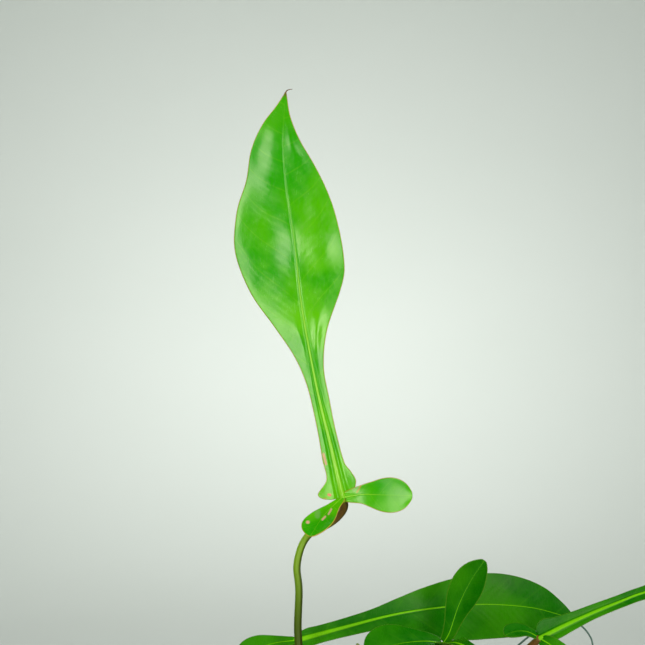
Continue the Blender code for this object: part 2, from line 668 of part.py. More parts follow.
clear_scene()
parts = new_collection("potted_philodendron")
helpers = new_collection("cutters")
make_pot()
stem_cutter = add_helper("stem_space", stem_mesh("stem_space", GAP))
make_soil(stem_cutter)
build_roots("root_system", add_part, 0, look="root")
add_part("main_stem", stem_mesh("main_stem"), "stem")
make_aerial_roots(stem_cutter)
for sheath_name, sheath_sizes in SHEATHS.items():
    make_sheath(sheath_name, *sheath_sizes)
make_spear()
for leaf_name, leaf_spec in LEAVES.items():
    make_leaf(leaf_name, leaf_spec)
    make_petiole(leaf_name, leaf_spec, stem_cutter)
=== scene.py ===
"""The looks of the potted philodendron: fine leaves, stalks, stem, roots, soil and a terracotta pot.

Units are metres and +Z is up. The tables of the plant's points repeat the CAD model's midribs,
outlines and stalks: they are in millimetres, with heights from the soil's surface.
"""

import math
import random

import bmesh
import bpy
import numpy as np
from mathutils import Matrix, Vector, noise


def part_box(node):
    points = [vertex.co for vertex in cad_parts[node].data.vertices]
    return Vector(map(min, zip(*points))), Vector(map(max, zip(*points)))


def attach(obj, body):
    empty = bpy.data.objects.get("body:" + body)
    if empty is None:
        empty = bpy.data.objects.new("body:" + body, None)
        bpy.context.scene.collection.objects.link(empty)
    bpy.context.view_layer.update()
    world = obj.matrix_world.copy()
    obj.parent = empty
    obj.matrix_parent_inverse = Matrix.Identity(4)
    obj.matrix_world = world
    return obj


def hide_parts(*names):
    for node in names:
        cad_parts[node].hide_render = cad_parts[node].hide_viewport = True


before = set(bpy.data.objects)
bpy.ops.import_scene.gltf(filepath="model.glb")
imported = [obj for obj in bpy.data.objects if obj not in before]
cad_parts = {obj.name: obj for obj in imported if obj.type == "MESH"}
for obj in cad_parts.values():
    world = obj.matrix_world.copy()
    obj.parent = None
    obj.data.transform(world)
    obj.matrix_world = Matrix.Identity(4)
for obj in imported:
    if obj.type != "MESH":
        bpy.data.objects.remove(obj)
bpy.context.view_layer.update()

# What the CAD model fixes
POT_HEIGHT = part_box("pot")[1].z
SOIL_DOME = 0.003
SOIL_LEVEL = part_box("potting_soil")[1].z - SOIL_DOME
STEM_DEPTH = 20
STEM_TOP = 86
STEM_RADIUS = 0.0055
STEM_NODE_SWELL = 0.0010
PETIOLE_RADIUS = 0.0019
PETIOLE_BASE_RADIUS = 0.0026
PLANT = np.array((0, 0, SOIL_LEVEL))
MM = 0.001

# Outlines of a lobe: (share of its length, share of its half width)
LOBE_OUTLINE = [
    (0, 0.11), (0.035, 0.34), (0.08, 0.24), (0.16, 0.19), (0.27, 0.21), (0.36, 0.38), (0.47, 0.75),
    (0.57, 0.97), (0.65, 1), (0.75, 0.9), (0.85, 0.64), (0.93, 0.32), (0.98, 0.08), (1, 0),
]
EAR_OUTLINE = [
    (0, 0.22), (0.22, 0.5), (0.38, 0.71), (0.53, 0.92), (0.67, 1), (0.78, 0.94), (0.88, 0.75),
    (0.96, 0.42), (1, 0),
]
NARROW_EAR_OUTLINE = [(place, width * (0.62 + 0.38 * min(place / 0.75, 1))) for place, width in EAR_OUTLINE]
TOP_LEFT_OUTLINE = [
    (0, 0.08), (0.02, 0.4), (0.05, 0.2), (0.1, 0.19), (0.22, 0.145), (0.29, 0.165), (0.36, 0.28),
    (0.44, 0.53), (0.52, 0.83), (0.6, 1), (0.66, 1.01), (0.72, 0.9), (0.79, 0.67), (0.86, 0.55),
    (0.92, 0.35), (0.96, 0.16), (0.99, 0.04), (1, 0),
]
TOP_RIGHT_OUTLINE = [
    (0, 0.08), (0.03, 0.28), (0.055, 0.24), (0.08, 0.165), (0.16, 0.145), (0.24, 0.17), (0.32, 0.19),
    (0.4, 0.34), (0.5, 0.68), (0.56, 0.8), (0.68, 0.76), (0.75, 0.68), (0.82, 0.5), (0.88, 0.29),
    (0.94, 0.11), (0.98, 0.04), (1, 0),
]
SIDE_UPPER_OUTLINE = [
    (0, 0.12), (0.04, 0.26), (0.09, 0.25), (0.18, 0.26), (0.28, 0.31), (0.37, 0.45), (0.47, 0.64),
    (0.57, 0.81), (0.68, 0.91), (0.78, 0.83), (0.87, 0.63), (0.94, 0.35), (0.985, 0.1), (1, 0),
]
SIDE_LOWER_OUTLINE = [
    (0, 0.12), (0.04, 0.26), (0.09, 0.26), (0.18, 0.28), (0.28, 0.34), (0.37, 0.53), (0.47, 0.83),
    (0.57, 1.02), (0.68, 1.02), (0.78, 0.9), (0.87, 0.68), (0.94, 0.37), (0.985, 0.1), (1, 0),
]
RIGHT_OUTER_HALF = [(0.52, 0.76), (0.6, 0.96), (0.68, 1), (0.77, 0.88), (0.86, 0.61), (0.94, 0.27), (1, 0)]
RIGHT_UPPER_OUTLINE = [
    (0, 0.2), (0.03, 0.4), (0.07, 0.31), (0.12, 0.25), (0.17, 0.22), (0.28, 0.18), (0.36, 0.2),
    (0.43, 0.38), *RIGHT_OUTER_HALF,
]
RIGHT_LOWER_OUTLINE = [
    (0, 0.16), (0.05, 0.25), (0.11, 0.22), (0.17, 0.18), (0.28, 0.18), (0.36, 0.22), (0.43, 0.4),
    *RIGHT_OUTER_HALF,
]

# Where each petiole leaves the stem: height above the soil
TOP_NODE = 78
FRONT_NODE = 70
SIDE_NODE = 64
RIGHT_NODE = 56
RIGHT_BACK_NODE = 47
LEFT_BACK_NODE = 38
LEFT_FRONT_NODE = 29
STEM_NODES = [10, 19, LEFT_FRONT_NODE, LEFT_BACK_NODE, RIGHT_BACK_NODE, RIGHT_NODE,
              SIDE_NODE, FRONT_NODE, TOP_NODE]
STEM_PATH = [(0, 0, -STEM_DEPTH), (0, 0, 0), (1.5, 1, 22), (-1, 2, 45), (0.5, 3, 68), (0, 4, STEM_TOP)]
SPEAR_PATH = [(0, 4, STEM_TOP + 0.8), (0, 4, 89), (-2.5, 3.5, 100), (-11, 2, 122), (-21.5, 1, 145.8)]
SPEAR_RADIUS = 3.2 * MM


def ear(path, facing, half_width=8.8, fold=14):
    """One of the two small lobes at a leaf's base; the junction is its path's missing first point."""
    return {"path": path, "facing": facing, "half_width": half_width, "fold": fold}


def lower_leaf(midrib, half_width, petiole):
    """A leaf that hangs outward, with plain outlines and ears."""
    return {"midrib": midrib, "facing": [(0, 0, 1)], "half_width": half_width, "fold": 12, "petiole": petiole}


# Each leaf: midrib from the junction to the tip, the way its upper face looks, half width, fold in
# degrees, ears, and the petiole's way from the stem's axis up to the junction.
LEAVES = {
    "top": {
        "midrib": [
            (-28.6, -4, 219.4), (-31, -4, 229), (-35.3, -1, 247.6), (-40.5, 4, 268.3), (-45.4, 8, 292.4),
            (-49.7, 10, 317.6), (-53.2, 11, 349.1), (-56.7, 9, 370.7), (-58.6, 5, 398.1),
            (-57.2, -1, 422.2),
        ],
        "facing": [(0.05, -1, 0.05)],
        "half_width": 30,
        "left": TOP_LEFT_OUTLINE,
        "right": TOP_RIGHT_OUTLINE,
        "fold": 9,
        "ears": [
            ear([(-19.1, -6, 221.1), (-9.3, -6.4, 220.9), (6, -5.2, 220.5)], [(0, -1, 0.15)], fold=5),
            ear([(-34.1, -11, 215.3), (-39, -18, 210.7), (-44.5, -28, 203.2)],
                [(-0.35, -0.65, 0.65)], half_width=8.6, fold=12),
        ],
        "petiole": [
            (0, 4, TOP_NODE), (-12, 4, 90), (-34, 3, 110), (-48, 3, 130), (-51, 3, 150), (-50.5, 2, 172.7),
            (-51.5, 2, 184.2), (-49, 3, 194.7), (-44, 5, 201), (-36, 6.5, 204.5), (-30.5, 6, 209),
            (-27.8, 3, 214),
        ],
    },
    "side": {
        "midrib": [
            (-52, 30, 141.6), (-27.6, 31, 148.1), (-1, 33, 154.5), (23.1, 36, 157.6), (47.6, 40, 158.5),
            (70.7, 44, 156.2), (85.7, 46, 152.2), (95.9, 47, 148.8),
        ],
        "facing": [(0, -1, 0.4)],
        "half_width": 18.2,
        "left": SIDE_UPPER_OUTLINE,
        "right": SIDE_LOWER_OUTLINE,
        "fold": 6,
        "ears": [
            ear([(-63.3, 28, 140.5), (-73.6, 26, 137.5), (-83, 23, 131.5)], [(0, -0.7, 0.8)], half_width=7.8),
            ear([(-60, 35.5, 137), (-66.8, 40, 128), (-72, 42.5, 117.5)], [(-0.5, -0.8, 0.2)]),
        ],
        "petiole": [(0, 4, SIDE_NODE), (-10, 12, 76), (-28, 26, 101), (-42, 33, 124), (-48, 33, 134)],
    },
    "front": {
        "midrib": [
            (21.8, 4, 145.2), (31, -12, 147), (50, -45, 136), (70, -76, 108), (86, -100, 72),
            (95, -113, 34),
        ],
        "facing": [(-0.1, 0.1, 1)],
        "half_width": 24,
        "fold": 12,
        "ears": [
            ear([(25, 3, 150.9), (29.5, 2, 164.6), (35.5, 0, 177.5), (42, -3, 188)],
                [(-0.15, -1, 0.2)], half_width=10.5, fold=38),
            ear([(12.4, -2, 147.4), (0.6, -9, 147.8), (-9.1, -15, 146.5), (-17.5, -20, 144)],
                [(-0.1, -0.75, 0.65)], half_width=12, fold=8),
        ],
        "petiole": [(0, 4, FRONT_NODE), (7, 3, 84), (12.5, 5, 108), (18.5, 6, 133)],
    },
    "right": {
        "midrib": [
            (70.8, 6, 147.3), (82.5, 5, 153.6), (96.5, 3, 160.5), (110.5, 0, 167), (122.1, -2, 171.8),
            (150, -8, 180), (180, -16, 180), (204, -24, 169), (219, -30, 152),
        ],
        "facing": [(-0.2, -0.85, 0.6), (0.1, -0.75, 0.75)],
        "half_width": 20.5,
        "left": RIGHT_UPPER_OUTLINE,
        "right": RIGHT_LOWER_OUTLINE,
        "fold": 10,
        "ears": [
            ear([(65, 8.5, 150), (59, 8.5, 150.3), (53.2, 6, 148.7)], [(-0.1, -0.45, 0.9)], half_width=6.2),
            ear([(76.5, 0, 144), (79.5, -6, 137), (78.5, -13, 124)], [(0.1, -1, 0.2)], half_width=9.8),
        ],
        "petiole": [(0, 4, RIGHT_NODE), (12, 4, 70), (34, 7, 98), (56, 12, 128), (65, 12, 140)],
    },
    "left_front": lower_leaf(
        [(-62, -52, 83), (-87, -75, 83), (-117, -101, 62), (-139, -119, 28), (-150, -128, -10)], 21.5,
        [(0, 2, LEFT_FRONT_NODE), (-10, -6, 42), (-36, -29, 64), (-58.8, -49.2, 75.5)]),
    "right_back": lower_leaf(
        [(58, 62, 105), (87, 87, 107), (121, 110, 89), (149, 128, 55), (163, 138, 14)], 22.5,
        [(0, 4, RIGHT_BACK_NODE), (10, 14, 61), (35, 39, 84), (54.5, 58.5, 97.5)]),
    "left_back": lower_leaf(
        [(-48, 60, 98), (-73, 88, 100), (-103, 115, 83), (-127, 137, 49), (-140, 149, 10)], 21.5,
        [(0, 4, LEFT_BACK_NODE), (-8, 14, 52), (-29, 38, 77), (-45, 56.3, 90.5)]),
}
HANGING_EAR_LENGTH = 0.032
EAR_GAP = 0.9 * MM
# Swells and hollows of the top leaf: share of its length, place across it from its left edge (-1) to
# its right edge (1), height in millimetres, and how far it reaches along and across
SWELLS = [
    (0.41, 0.50, -0.55, 0.050, 0.22),
    (0.40, -0.25, -0.30, 0.040, 0.20),
    (0.54, 0.35, 0.45, 0.045, 0.25),
    (0.54, -0.95, -0.35, 0.045, 0.25),
    (0.63, -0.38, 1.00, 0.065, 0.30),
    (0.61, 0.55, -0.85, 0.050, 0.35),
    (0.72, 0.30, 0.55, 0.050, 0.28),
    (0.71, -0.95, -0.60, 0.050, 0.22),
    (0.86, -0.70, 0.35, 0.050, 0.25),
    (0.87, 0.50, -0.30, 0.050, 0.25),
]
# The top leaf is a channel at its waist and nearly flat above it: shares of its length, folds in degrees
TOP_FOLDS = ((0.30, 0.46), (8.0, 4.0))
# How far the last three points of its midrib lie further back, which keeps the tip from nodding
TOP_TIP_EASE = (1.5, 3, 3)
# Healed scars and stains of the top leaf: field, one end and the other (x, z), half width, strength
MARKS = [
    ("scar", (-38.3, 240.9), (-37, 236), 0.6, 1.0),
    ("red", (-35.7, 220.9), (-35, 220.7), 0.7, 1.0),
    ("scar", (-34.4, 214.6), (-35.8, 212.6), 0.4, 0.9),
    ("scar", (-37.4, 211.5), (-38.8, 210.3), 0.45, 0.95),
    ("scar", (-46.2, 209), (-45.7, 209), 0.7, 1.0),
    ("grey", (-41.2, 213.2), (-41.2, 212), 1.4, 0.35),
    ("grey", (-39.4, 216.8), (-37.6, 217.4), 1.3, 0.4),
    ("red", (-39.4, 218), (-37.2, 219), 0.6, 0.35),
    ("red", (-19.8, 225.3), (-21.7, 222.1), 0.35, 0.5),
    ("grey", (-21.2, 224.6), (-23.2, 223.2), 0.9, 0.35),
]
# The thread-like end of the top leaf, which dries and curls to the right
DRIP_TIP = [(-57.5, 3, 420), (-57.1, 2.1, 421.9), (-56.3, 1.6, 422.7), (-55.1, 1.4, 423.1),
            (-53.8, 1.4, 423.2)]
AERIAL_ROOTS = {
    "aerial_root_left": ([(0, 0, 22), (-11, -1, 21), (-22, -3, 11), (-27, -5, -4), (-29, -6, -14)], 1.1),
    "aerial_root_front": ([(0, 2, 42), (9, -10, 39), (19, -23, 20), (23, -29, 0), (24, -31, -12)], 1.1),
    "aerial_root_long": ([
        (0, 4, 60), (16, 15, 82), (40, 23, 118), (66, 26, 143), (82, 24, 152.5), (91.5, 22, 152.2),
        (98.1, 22, 146.2), (100.2, 22, 139), (100.5, 21, 122), (98, 20, 105),
    ], 0.6),
}
# Dry sheaths round the stem: middle direction and spread in degrees, foot height, length
SHEATHS = {
    "dry_sheath_right": (-20, 50, 0.004, 0.026),
    "dry_sheath_back": (105, 48, 0.006, 0.030),
    "dry_sheath_front": (235, 42, 0.002, 0.022),
}


# Meshes

class Shape:
    """The points, faces and named values at the points of one piece."""

    def __init__(self, *fields):
        self.points = []
        self.faces = []
        self.fields = {field: [] for field in fields}
        self.count = 0

    def add(self, points, faces, **values):
        self.points.append(points)
        self.faces += [[corner + self.count for corner in face] for face in faces]
        for field, kept in self.fields.items():
            kept.append(np.broadcast_to(np.asarray(values.get(field, 0.0), float), len(points)))
        self.count += len(points)

    def mesh(self, name):
        made = bpy.data.meshes.new(name)
        made.from_pydata(np.concatenate(self.points).tolist(), [], self.faces)
        for field, kept in self.fields.items():
            attribute = made.attributes.new(field, "FLOAT", "POINT")
            attribute.data.foreach_set("value", np.concatenate(kept).astype(np.float32))
        made.shade_smooth()
        return made


def placed(name, data):
    obj = bpy.data.objects.new(name, data)
    bpy.context.scene.collection.objects.link(obj)
    return obj


def show(mesh, node, material):
    """Puts a fine mesh in the place of its CAD node."""
    obj = placed(f"fine_{node}", mesh)
    mesh.materials.append(material)
    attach(obj, "root")
    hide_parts(node)
    return obj


def unit(vectors):
    return vectors / np.linalg.norm(vectors, axis=-1, keepdims=True)


def in_plant(points):
    """Points of a table, in metres and with the soil at its place in the pot."""
    return np.array(points, float) * MM + PLANT


def smooth_curve(points, blur=0.0):
    """Closely spaced points on the Catmull-Rom curve through the given ones; blur evens its bends."""
    points = np.asarray(points, float)
    ends = np.concatenate([[2 * points[0] - points[1]], points, [2 * points[-1] - points[-2]]])
    t = np.linspace(0, 1, 80, endpoint=False)[:, None]
    spans = [0.5 * (2 * b + (c - a) * t + (2 * a - 5 * b + 4 * c - d) * t**2
                    + (3 * b - a - 3 * c + d) * t**3)
             for a, b, c, d in zip(ends, ends[1:], ends[2:], ends[3:])]
    dense = np.concatenate([*spans, points[-1:]])
    dense = at_shares(dense, np.linspace(0, 1, 601))
    if blur:
        reach = int(blur / (length_of(dense) / 600))
        kernel = np.hanning(2 * reach + 3)
        kernel /= kernel.sum()
        head = 2 * dense[0] - dense[reach + 1:0:-1]
        tail = 2 * dense[-1] - dense[-2:-reach - 3:-1]
        padded = np.concatenate([head, dense, tail])
        dense = np.stack([np.convolve(padded[:, axis], kernel, "valid") for axis in range(3)], axis=1)
    return dense


def length_of(path):
    return np.linalg.norm(np.diff(path, axis=0), axis=1).sum()


def at_shares(path, shares):
    run = np.concatenate([[0], np.cumsum(np.linalg.norm(np.diff(path, axis=0), axis=1))])
    return np.stack([np.interp(shares, run / run[-1], path[:, axis]) for axis in range(3)], axis=1)


def outline_widths(outline, shares):
    """A smooth curve through the outline, taken over the angle that makes round ends round."""
    places, widths = np.array(outline, float).T
    angles = np.arccos(1 - 2 * places)
    here = np.arccos(1 - 2 * np.clip(shares, 0, 1))
    low = np.maximum(np.arange(len(angles)) - 1, 0)
    high = np.minimum(np.arange(len(angles)) + 1, len(angles) - 1)
    slopes = (widths[high] - widths[low]) / (angles[high] - angles[low])
    index = np.clip(np.searchsorted(angles, here, side="right") - 1, 0, len(angles) - 2)
    span = angles[index + 1] - angles[index]
    t = (here - angles[index]) / span
    start = (2 * t**3 - 3 * t**2 + 1) * widths[index] + (t**3 - 2 * t**2 + t) * span * slopes[index]
    end = (3 * t**2 - 2 * t**3) * widths[index + 1] + (t**3 - t**2) * span * slopes[index + 1]
    return np.maximum(start + end, 0)


def step(values, low, high):
    """Rises smoothly from 0 at low to 1 at high."""
    t = np.clip((values - low) / (high - low), 0, 1)
    return t * t * (3 - 2 * t)


def tube(shape, path, radius, rings, sides, **values):
    """A closed round tube; radius(share, turn) gives its size, and both are arrays."""
    shares = np.linspace(0, 1, rings)
    middle = at_shares(path, shares)
    ahead = unit(np.gradient(middle, axis=0))
    side = np.cross(ahead[0], (0.3, 0.9, 0.2))
    sides_at = []
    for way in ahead:
        side = side - way * side.dot(way)
        side = side / np.linalg.norm(side)
        sides_at.append(side)
    across = np.array(sides_at)
    other = np.cross(ahead, across)
    turn = np.linspace(0, 2 * math.pi, sides, endpoint=False)
    size = radius(shares[:, None], turn[None, :]) * np.ones((rings, sides))
    out = across[:, None] * np.cos(turn)[None, :, None] + other[:, None] * np.sin(turn)[None, :, None]
    points = (middle[:, None] + out * size[..., None]).reshape(-1, 3)
    share = np.concatenate([np.repeat(shares, sides), [0, 1]])
    # face is how far each point faces +x; the stalk material turns it into painted shade
    face = np.concatenate([out[..., 0].ravel(), [0, 0]])
    shape.add(np.concatenate([points, middle[[0, -1]]]), ring_faces(rings, sides),
              share=share, face=face, **values)


def quads(index, flipped=False):
    a, b, c, d = index[:-1, :-1], index[:-1, 1:], index[1:, 1:], index[1:, :-1]
    order = (d, c, b, a) if flipped else (a, b, c, d)
    return np.stack(order, axis=-1).reshape(-1, 4).tolist()


def ring_faces(rings, steps):
    """Faces round a row of rings, then a fan at each end to the two points that follow the rings."""
    index = np.arange(rings * steps).reshape(rings, steps)
    index = np.concatenate([index, index[:, :1]], axis=1)
    first, last = index[0].tolist(), index[-1].tolist()
    return (quads(index) + [[rings * steps, b, a] for a, b in zip(first, first[1:])]
            + [[rings * steps + 1, a, b] for a, b in zip(last, last[1:])])


def solid(make, **sizes):
    """The points and faces of one of bmesh's basic solids."""
    bm = bmesh.new()
    make(bm, **sizes)
    bm.verts.index_update()
    points = np.array([vert.co for vert in bm.verts])
    faces = [[vert.index for vert in face.verts] for face in bm.faces]
    bm.free()
    return points, faces


def stick(node, path, radius, rings, sides, material):
    """A round tube in the place of its CAD node."""
    shape = Shape("share", "face")
    tube(shape, path, radius, rings, sides)
    show(shape.mesh(node), node, material)


# Leaves

LEAF_FIELDS = ("along", "rim", "rib", "vein", "under", "scar", "red", "grey", "tip")
BLADE_THICKNESS = 0.6 * MM
MARGIN_ROUND = 0.6 * MM
KNOB_RADIUS = 1.6 * MM
KNOB_SETBACK = 0.7 * MM
# Rows along a lobe and columns across it
TOP_GRID = (330, 96)
LEAF_GRID = (240, 80)
EAR_GRID = (96, 54)
# The relief of a main lobe, and what differs on the top leaf and on the ears
RELIEF = {"swells": (), "blur": 0.006, "spacing": 0.017, "quilt": 0.12 * MM, "fine": 0.03 * MM,
          "cut": 0.01 * MM, "wave": 1.4 * MM, "wavelength": 0.055, "arch": 0.02, "groove": 0.22,
          "rib": 1.5 * MM, "rib_above": 0.12, "rib_shown": 1.0, "tip": 1}
TOP_RELIEF = {**RELIEF, "swells": SWELLS, "quilt": 0.065 * MM, "fine": 0.012 * MM, "wave": 0.0, "groove": 0.4}
EAR_RELIEF = {**RELIEF, "blur": 0.003, "spacing": 0.009, "quilt": 0.06 * MM, "fine": 0.02 * MM,
              "cut": 0.005 * MM, "wave": 0.3 * MM, "wavelength": 0.03, "arch": 0.03,
              "rib": 0.7 * MM, "rib_above": 0.1, "rib_shown": 0.55, "tip": 0}
WAVES = {"side": 1.0 * MM, "right": 1.2 * MM}


def spread(count, crowd):
    """Shares from 0 to 1 that lie closer together near both ends."""
    u = np.linspace(0, 1, count)
    return u - crowd * np.sin(2 * math.pi * u) / (2 * math.pi)


def lobe(shape, midrib, facing, half, left, right, fold, grid, relief):
    """A closed thin lobe: a folded, quilted sheet with a rib below and a round margin."""
    rows, columns = grid
    path = smooth_curve(midrib, blur=relief["blur"])
    length = length_of(path)
    even = np.linspace(0, 1, rows + 1)
    shares = 0.55 * even + 0.45 * (1 - np.cos(even * math.pi)) / 2
    middle = at_shares(path, shares)
    ahead = unit(np.gradient(at_shares(path, np.linspace(0, 1, 601)), axis=0))
    ahead = unit(at_plain(ahead, shares))
    looks = unit(at_plain(unit(np.array(facing, float)), shares))
    side = unit(np.cross(ahead, looks))
    above = np.cross(side, ahead)

    u = spread(columns // 2 + 1, 0.6)
    t = np.concatenate([-u[:0:-1], u])
    width = np.where(t < 0, outline_widths(left, shares)[:, None], outline_widths(right, shares)[:, None])
    width = np.maximum(width * half, 1e-5)
    fold = np.radians(np.interp(shares, *fold))[:, None]
    x = width * t
    far = np.abs(x)
    run = (shares * length)[:, None] * np.ones_like(x)
    rim = width - far
    broad = step(width, 0.006, 0.013)

    # Side veins leave the midrib at a slant, bend forward and stand a little unevenly
    phase = (run - far * 0.72 - 14 * far**2) / relief["spacing"] + np.where(t < 0, 0.0, 0.45)
    phase = phase + 0.16 * np.sin(run / 0.017 + 2) + 0.10 * np.sin(far / 0.006 + run / 0.031)
    panel = np.sin(math.pi * phase) ** 2
    inner = step(far, 0.0, 0.006) * step(rim, 0.0, 0.010)
    quilt = relief["quilt"] * broad * inner * (panel - 0.4)
    fine = relief["fine"] * broad * inner * np.cos(2 * math.pi * phase * 4)
    wave = relief["wave"] * broad * np.abs(t) ** 2.2 * np.sin(
        2 * math.pi * (run / relief["wavelength"]) + np.where(t < 0, 0.4, 2.3))
    round_fold = 0.0022
    rise = np.sin(fold) * (np.sqrt(x**2 + round_fold**2) - round_fold)
    arch = -relief["arch"] * np.sin(math.pi * np.clip(np.abs(t), 0, 1)) * width
    swell = np.zeros_like(x)
    for place, over, size, reach, breadth in relief["swells"]:
        gap = ((shares[:, None] - place) / reach) ** 2 + ((t - over) / breadth) ** 2
        swell += size * MM * np.exp(-gap)
    swell *= step(width, 0.0, 0.006)
    height = rise + wave + quilt + fine + arch + swell
    sheet = middle[:, None] + side[:, None] * (x * np.cos(fold))[..., None]
    sheet = sheet + above[:, None] * height[..., None]

    normal = unit(np.cross(np.gradient(sheet, axis=1), np.gradient(sheet, axis=0)))
    flip = np.sign((normal * above[:, None]).sum(-1, keepdims=True))
    normal = normal * np.where(flip == 0, 1, flip)

    rib_half = relief["rib"] * np.maximum(np.exp(-shares / 0.38), 0.12)[:, None]
    rib_place = far / rib_half
    rib_bump = np.exp(-rib_place**2)
    groove = np.exp(-((rib_place - 1.6) / 0.7) ** 2)
    edge = np.sqrt(np.clip(1 - (1 - np.clip(rim / MARGIN_ROUND, 0, 1)) ** 2, 0, 1))
    core = BLADE_THICKNESS / 2 * edge
    from_vein = ((phase + 0.5) % 1 - 0.5) * relief["spacing"]
    vein_cut = relief["cut"] * broad * inner * np.exp(-(from_vein / 0.0005) ** 2)
    rib_top = relief["rib_above"] * rib_bump - relief["groove"] * groove
    top = core + edge * rib_half * rib_top - vein_cut
    low = core + edge * rib_half * 0.95 * rib_bump + vein_cut * 2
    upper = sheet + normal * top[..., None]
    lower = sheet - normal * low[..., None]

    wide = columns + 1
    index = np.arange(rows * wide).reshape(rows, wide)
    under = index + rows * wide
    under[:, 0] = index[:, 0]
    under[:, -1] = index[:, -1]
    under[0] = index[0]
    tip = 2 * rows * wide
    faces = quads(index) + quads(under, True)
    faces += [[index[-1, c], index[-1, c + 1], tip] for c in range(columns)]
    faces += [[under[-1, c + 1], under[-1, c], tip] for c in range(columns)]
    points = np.concatenate([upper[:-1].reshape(-1, 3), lower[:-1].reshape(-1, 3), sheet[-1:, 0]])
    fields = {"along": run, "rim": rim, "rib": rib_place / relief["rib_shown"], "vein": phase}
    values = {name: np.concatenate([np.tile(made[:-1].ravel(), 2), [made[-1, 0]]])
              for name, made in fields.items()}
    values["under"] = np.concatenate([np.zeros(rows * wide), np.ones(rows * wide), [0]])
    values["tip"] = relief["tip"] * step(values["along"], length - 0.004, length)
    used = np.unique(np.concatenate([np.ravel(face) for face in faces]))
    renumber = np.zeros(tip + 1, int)
    renumber[used] = np.arange(len(used))
    shape.add(points[used], [[int(renumber[corner]) for corner in face] for face in faces],
              **{name: made[used] for name, made in values.items()})


def at_plain(values, shares):
    """Values spread evenly over a length, read at these shares."""
    places = np.linspace(0, 1, len(values)) if len(values) > 1 else np.array([0.0])
    return np.stack([np.interp(shares, places, values[:, axis]) for axis in range(3)], axis=1)


def knob(shape, centre, ahead):
    """The small swelling where the petiole meets the blade, longer along the midrib."""
    points, faces = solid(bmesh.ops.create_uvsphere, u_segments=32, v_segments=20, radius=KNOB_RADIUS)
    points = points + 0.7 * np.outer(points @ ahead, ahead)
    shape.add(centre + points, faces, rib=0.3, rim=0.01, along=0.001)


def hanging_ears(midrib, facing):
    """The ears of a leaf that hangs outward: back and to each side of its petiole."""
    ahead = unit(midrib[1] - midrib[0])
    side = unit(np.cross(ahead, facing))
    above = np.cross(side, ahead)
    ears = []
    for way in (1, -1):
        out = unit(side * way * 0.85 - ahead * 0.45)
        path = [midrib[0] + out * reach * HANGING_EAR_LENGTH + above * lift * HANGING_EAR_LENGTH
                for reach, lift in ((0.35, 0.09), (0.7, 0.1), (1, 0.0))]
        ears.append(ear(path, [above]))
    return ears


def stain(shape):
    """Puts the scars and stains on the lobes made so far."""
    place = np.concatenate(shape.points)[:, (0, 2)]
    for field, first, last, half, strength in MARKS:
        first, last = np.array((first, last)) * MM + (0, SOIL_LEVEL)
        way = last - first
        share = np.clip((place - first) @ way / max(way @ way, 1e-12), 0, 1)
        gap = np.linalg.norm(place - first - share[:, None] * way, axis=1)
        mark = strength * (1 - step(gap, half * 0.6 * MM, half * 1.3 * MM))
        shape.fields[field] = [np.maximum(np.concatenate(shape.fields[field]), mark)]


def make_blade(name, leaf, material):
    """A leaf's main lobe with its ears and the knob between them, in one mesh."""
    midrib = in_plant(leaf["midrib"])
    facing = leaf["facing"]
    hero = name == "top"
    if hero:
        midrib[-3:, 1] += np.array(TOP_TIP_EASE) * MM
    shape = Shape(*LEAF_FIELDS)
    lobe(shape, midrib, facing, leaf["half_width"] * MM, leaf.get("left", LOBE_OUTLINE),
         leaf.get("right", LOBE_OUTLINE), TOP_FOLDS if hero else ((0,), (leaf["fold"],)),
         TOP_GRID if hero else LEAF_GRID,
         TOP_RELIEF if hero else {**RELIEF, "wave": WAVES.get(name, RELIEF["wave"])})
    if "ears" in leaf:
        ears = [{**one, "path": in_plant(one["path"])} for one in leaf["ears"]]
    else:
        ears = hanging_ears(midrib, facing[0])
    for one in ears:
        path = np.concatenate([midrib[:1] + unit(one["path"][0] - midrib[0]) * EAR_GAP, one["path"]])
        right = NARROW_EAR_OUTLINE if hero and one is ears[1] else EAR_OUTLINE
        lobe(shape, path, one["facing"], one["half_width"] * MM, EAR_OUTLINE, right, ((0,), (one["fold"],)),
             EAR_GRID, EAR_RELIEF)
    knob(shape, midrib[0] - unit(np.array(facing[0], float)) * KNOB_SETBACK, unit(midrib[1] - midrib[0]))
    if hero:
        stain(shape)
        tube(shape, smooth_curve(in_plant(DRIP_TIP)), lambda share, turn: 0.00045 - 0.00034 * share,
             40, 16, rim=0.01, rib=5.0, tip=1.0)
    show(shape.mesh(f"leaf_{name}"), f"leaf_blade_{name}", material)


# Stalks, stem and roots

RING_SPACING = 0.8 * MM


def make_petiole(name, leaf, material):
    path = smooth_curve(in_plant([*leaf["petiole"], leaf["midrib"][0]]), blur=0.003)
    length = length_of(path)

    def radius(share, turn):
        run = share * length
        size = PETIOLE_RADIUS + (PETIOLE_BASE_RADIUS - PETIOLE_RADIUS) * (1 - share) ** 3
        foot = 0.0012 * np.exp(-(run / 0.009) ** 2)
        neck = 0.00012 * np.exp(-((length - run - 0.010) / 0.006) ** 2)
        ribs = 0.00004 * np.cos(turn * 7 + 3 * share)
        lumps = 0.00005 * np.sin(run / 0.0071) * np.sin(turn + run / 0.011)
        groove = 0.0003 * np.exp(-((turn - math.pi) / 0.45) ** 2) * step(share, 0.3, 0.9)
        return size + foot + neck + ribs + lumps - groove

    stick(f"petiole_{name}", path, radius, int(length / RING_SPACING), 32, material)


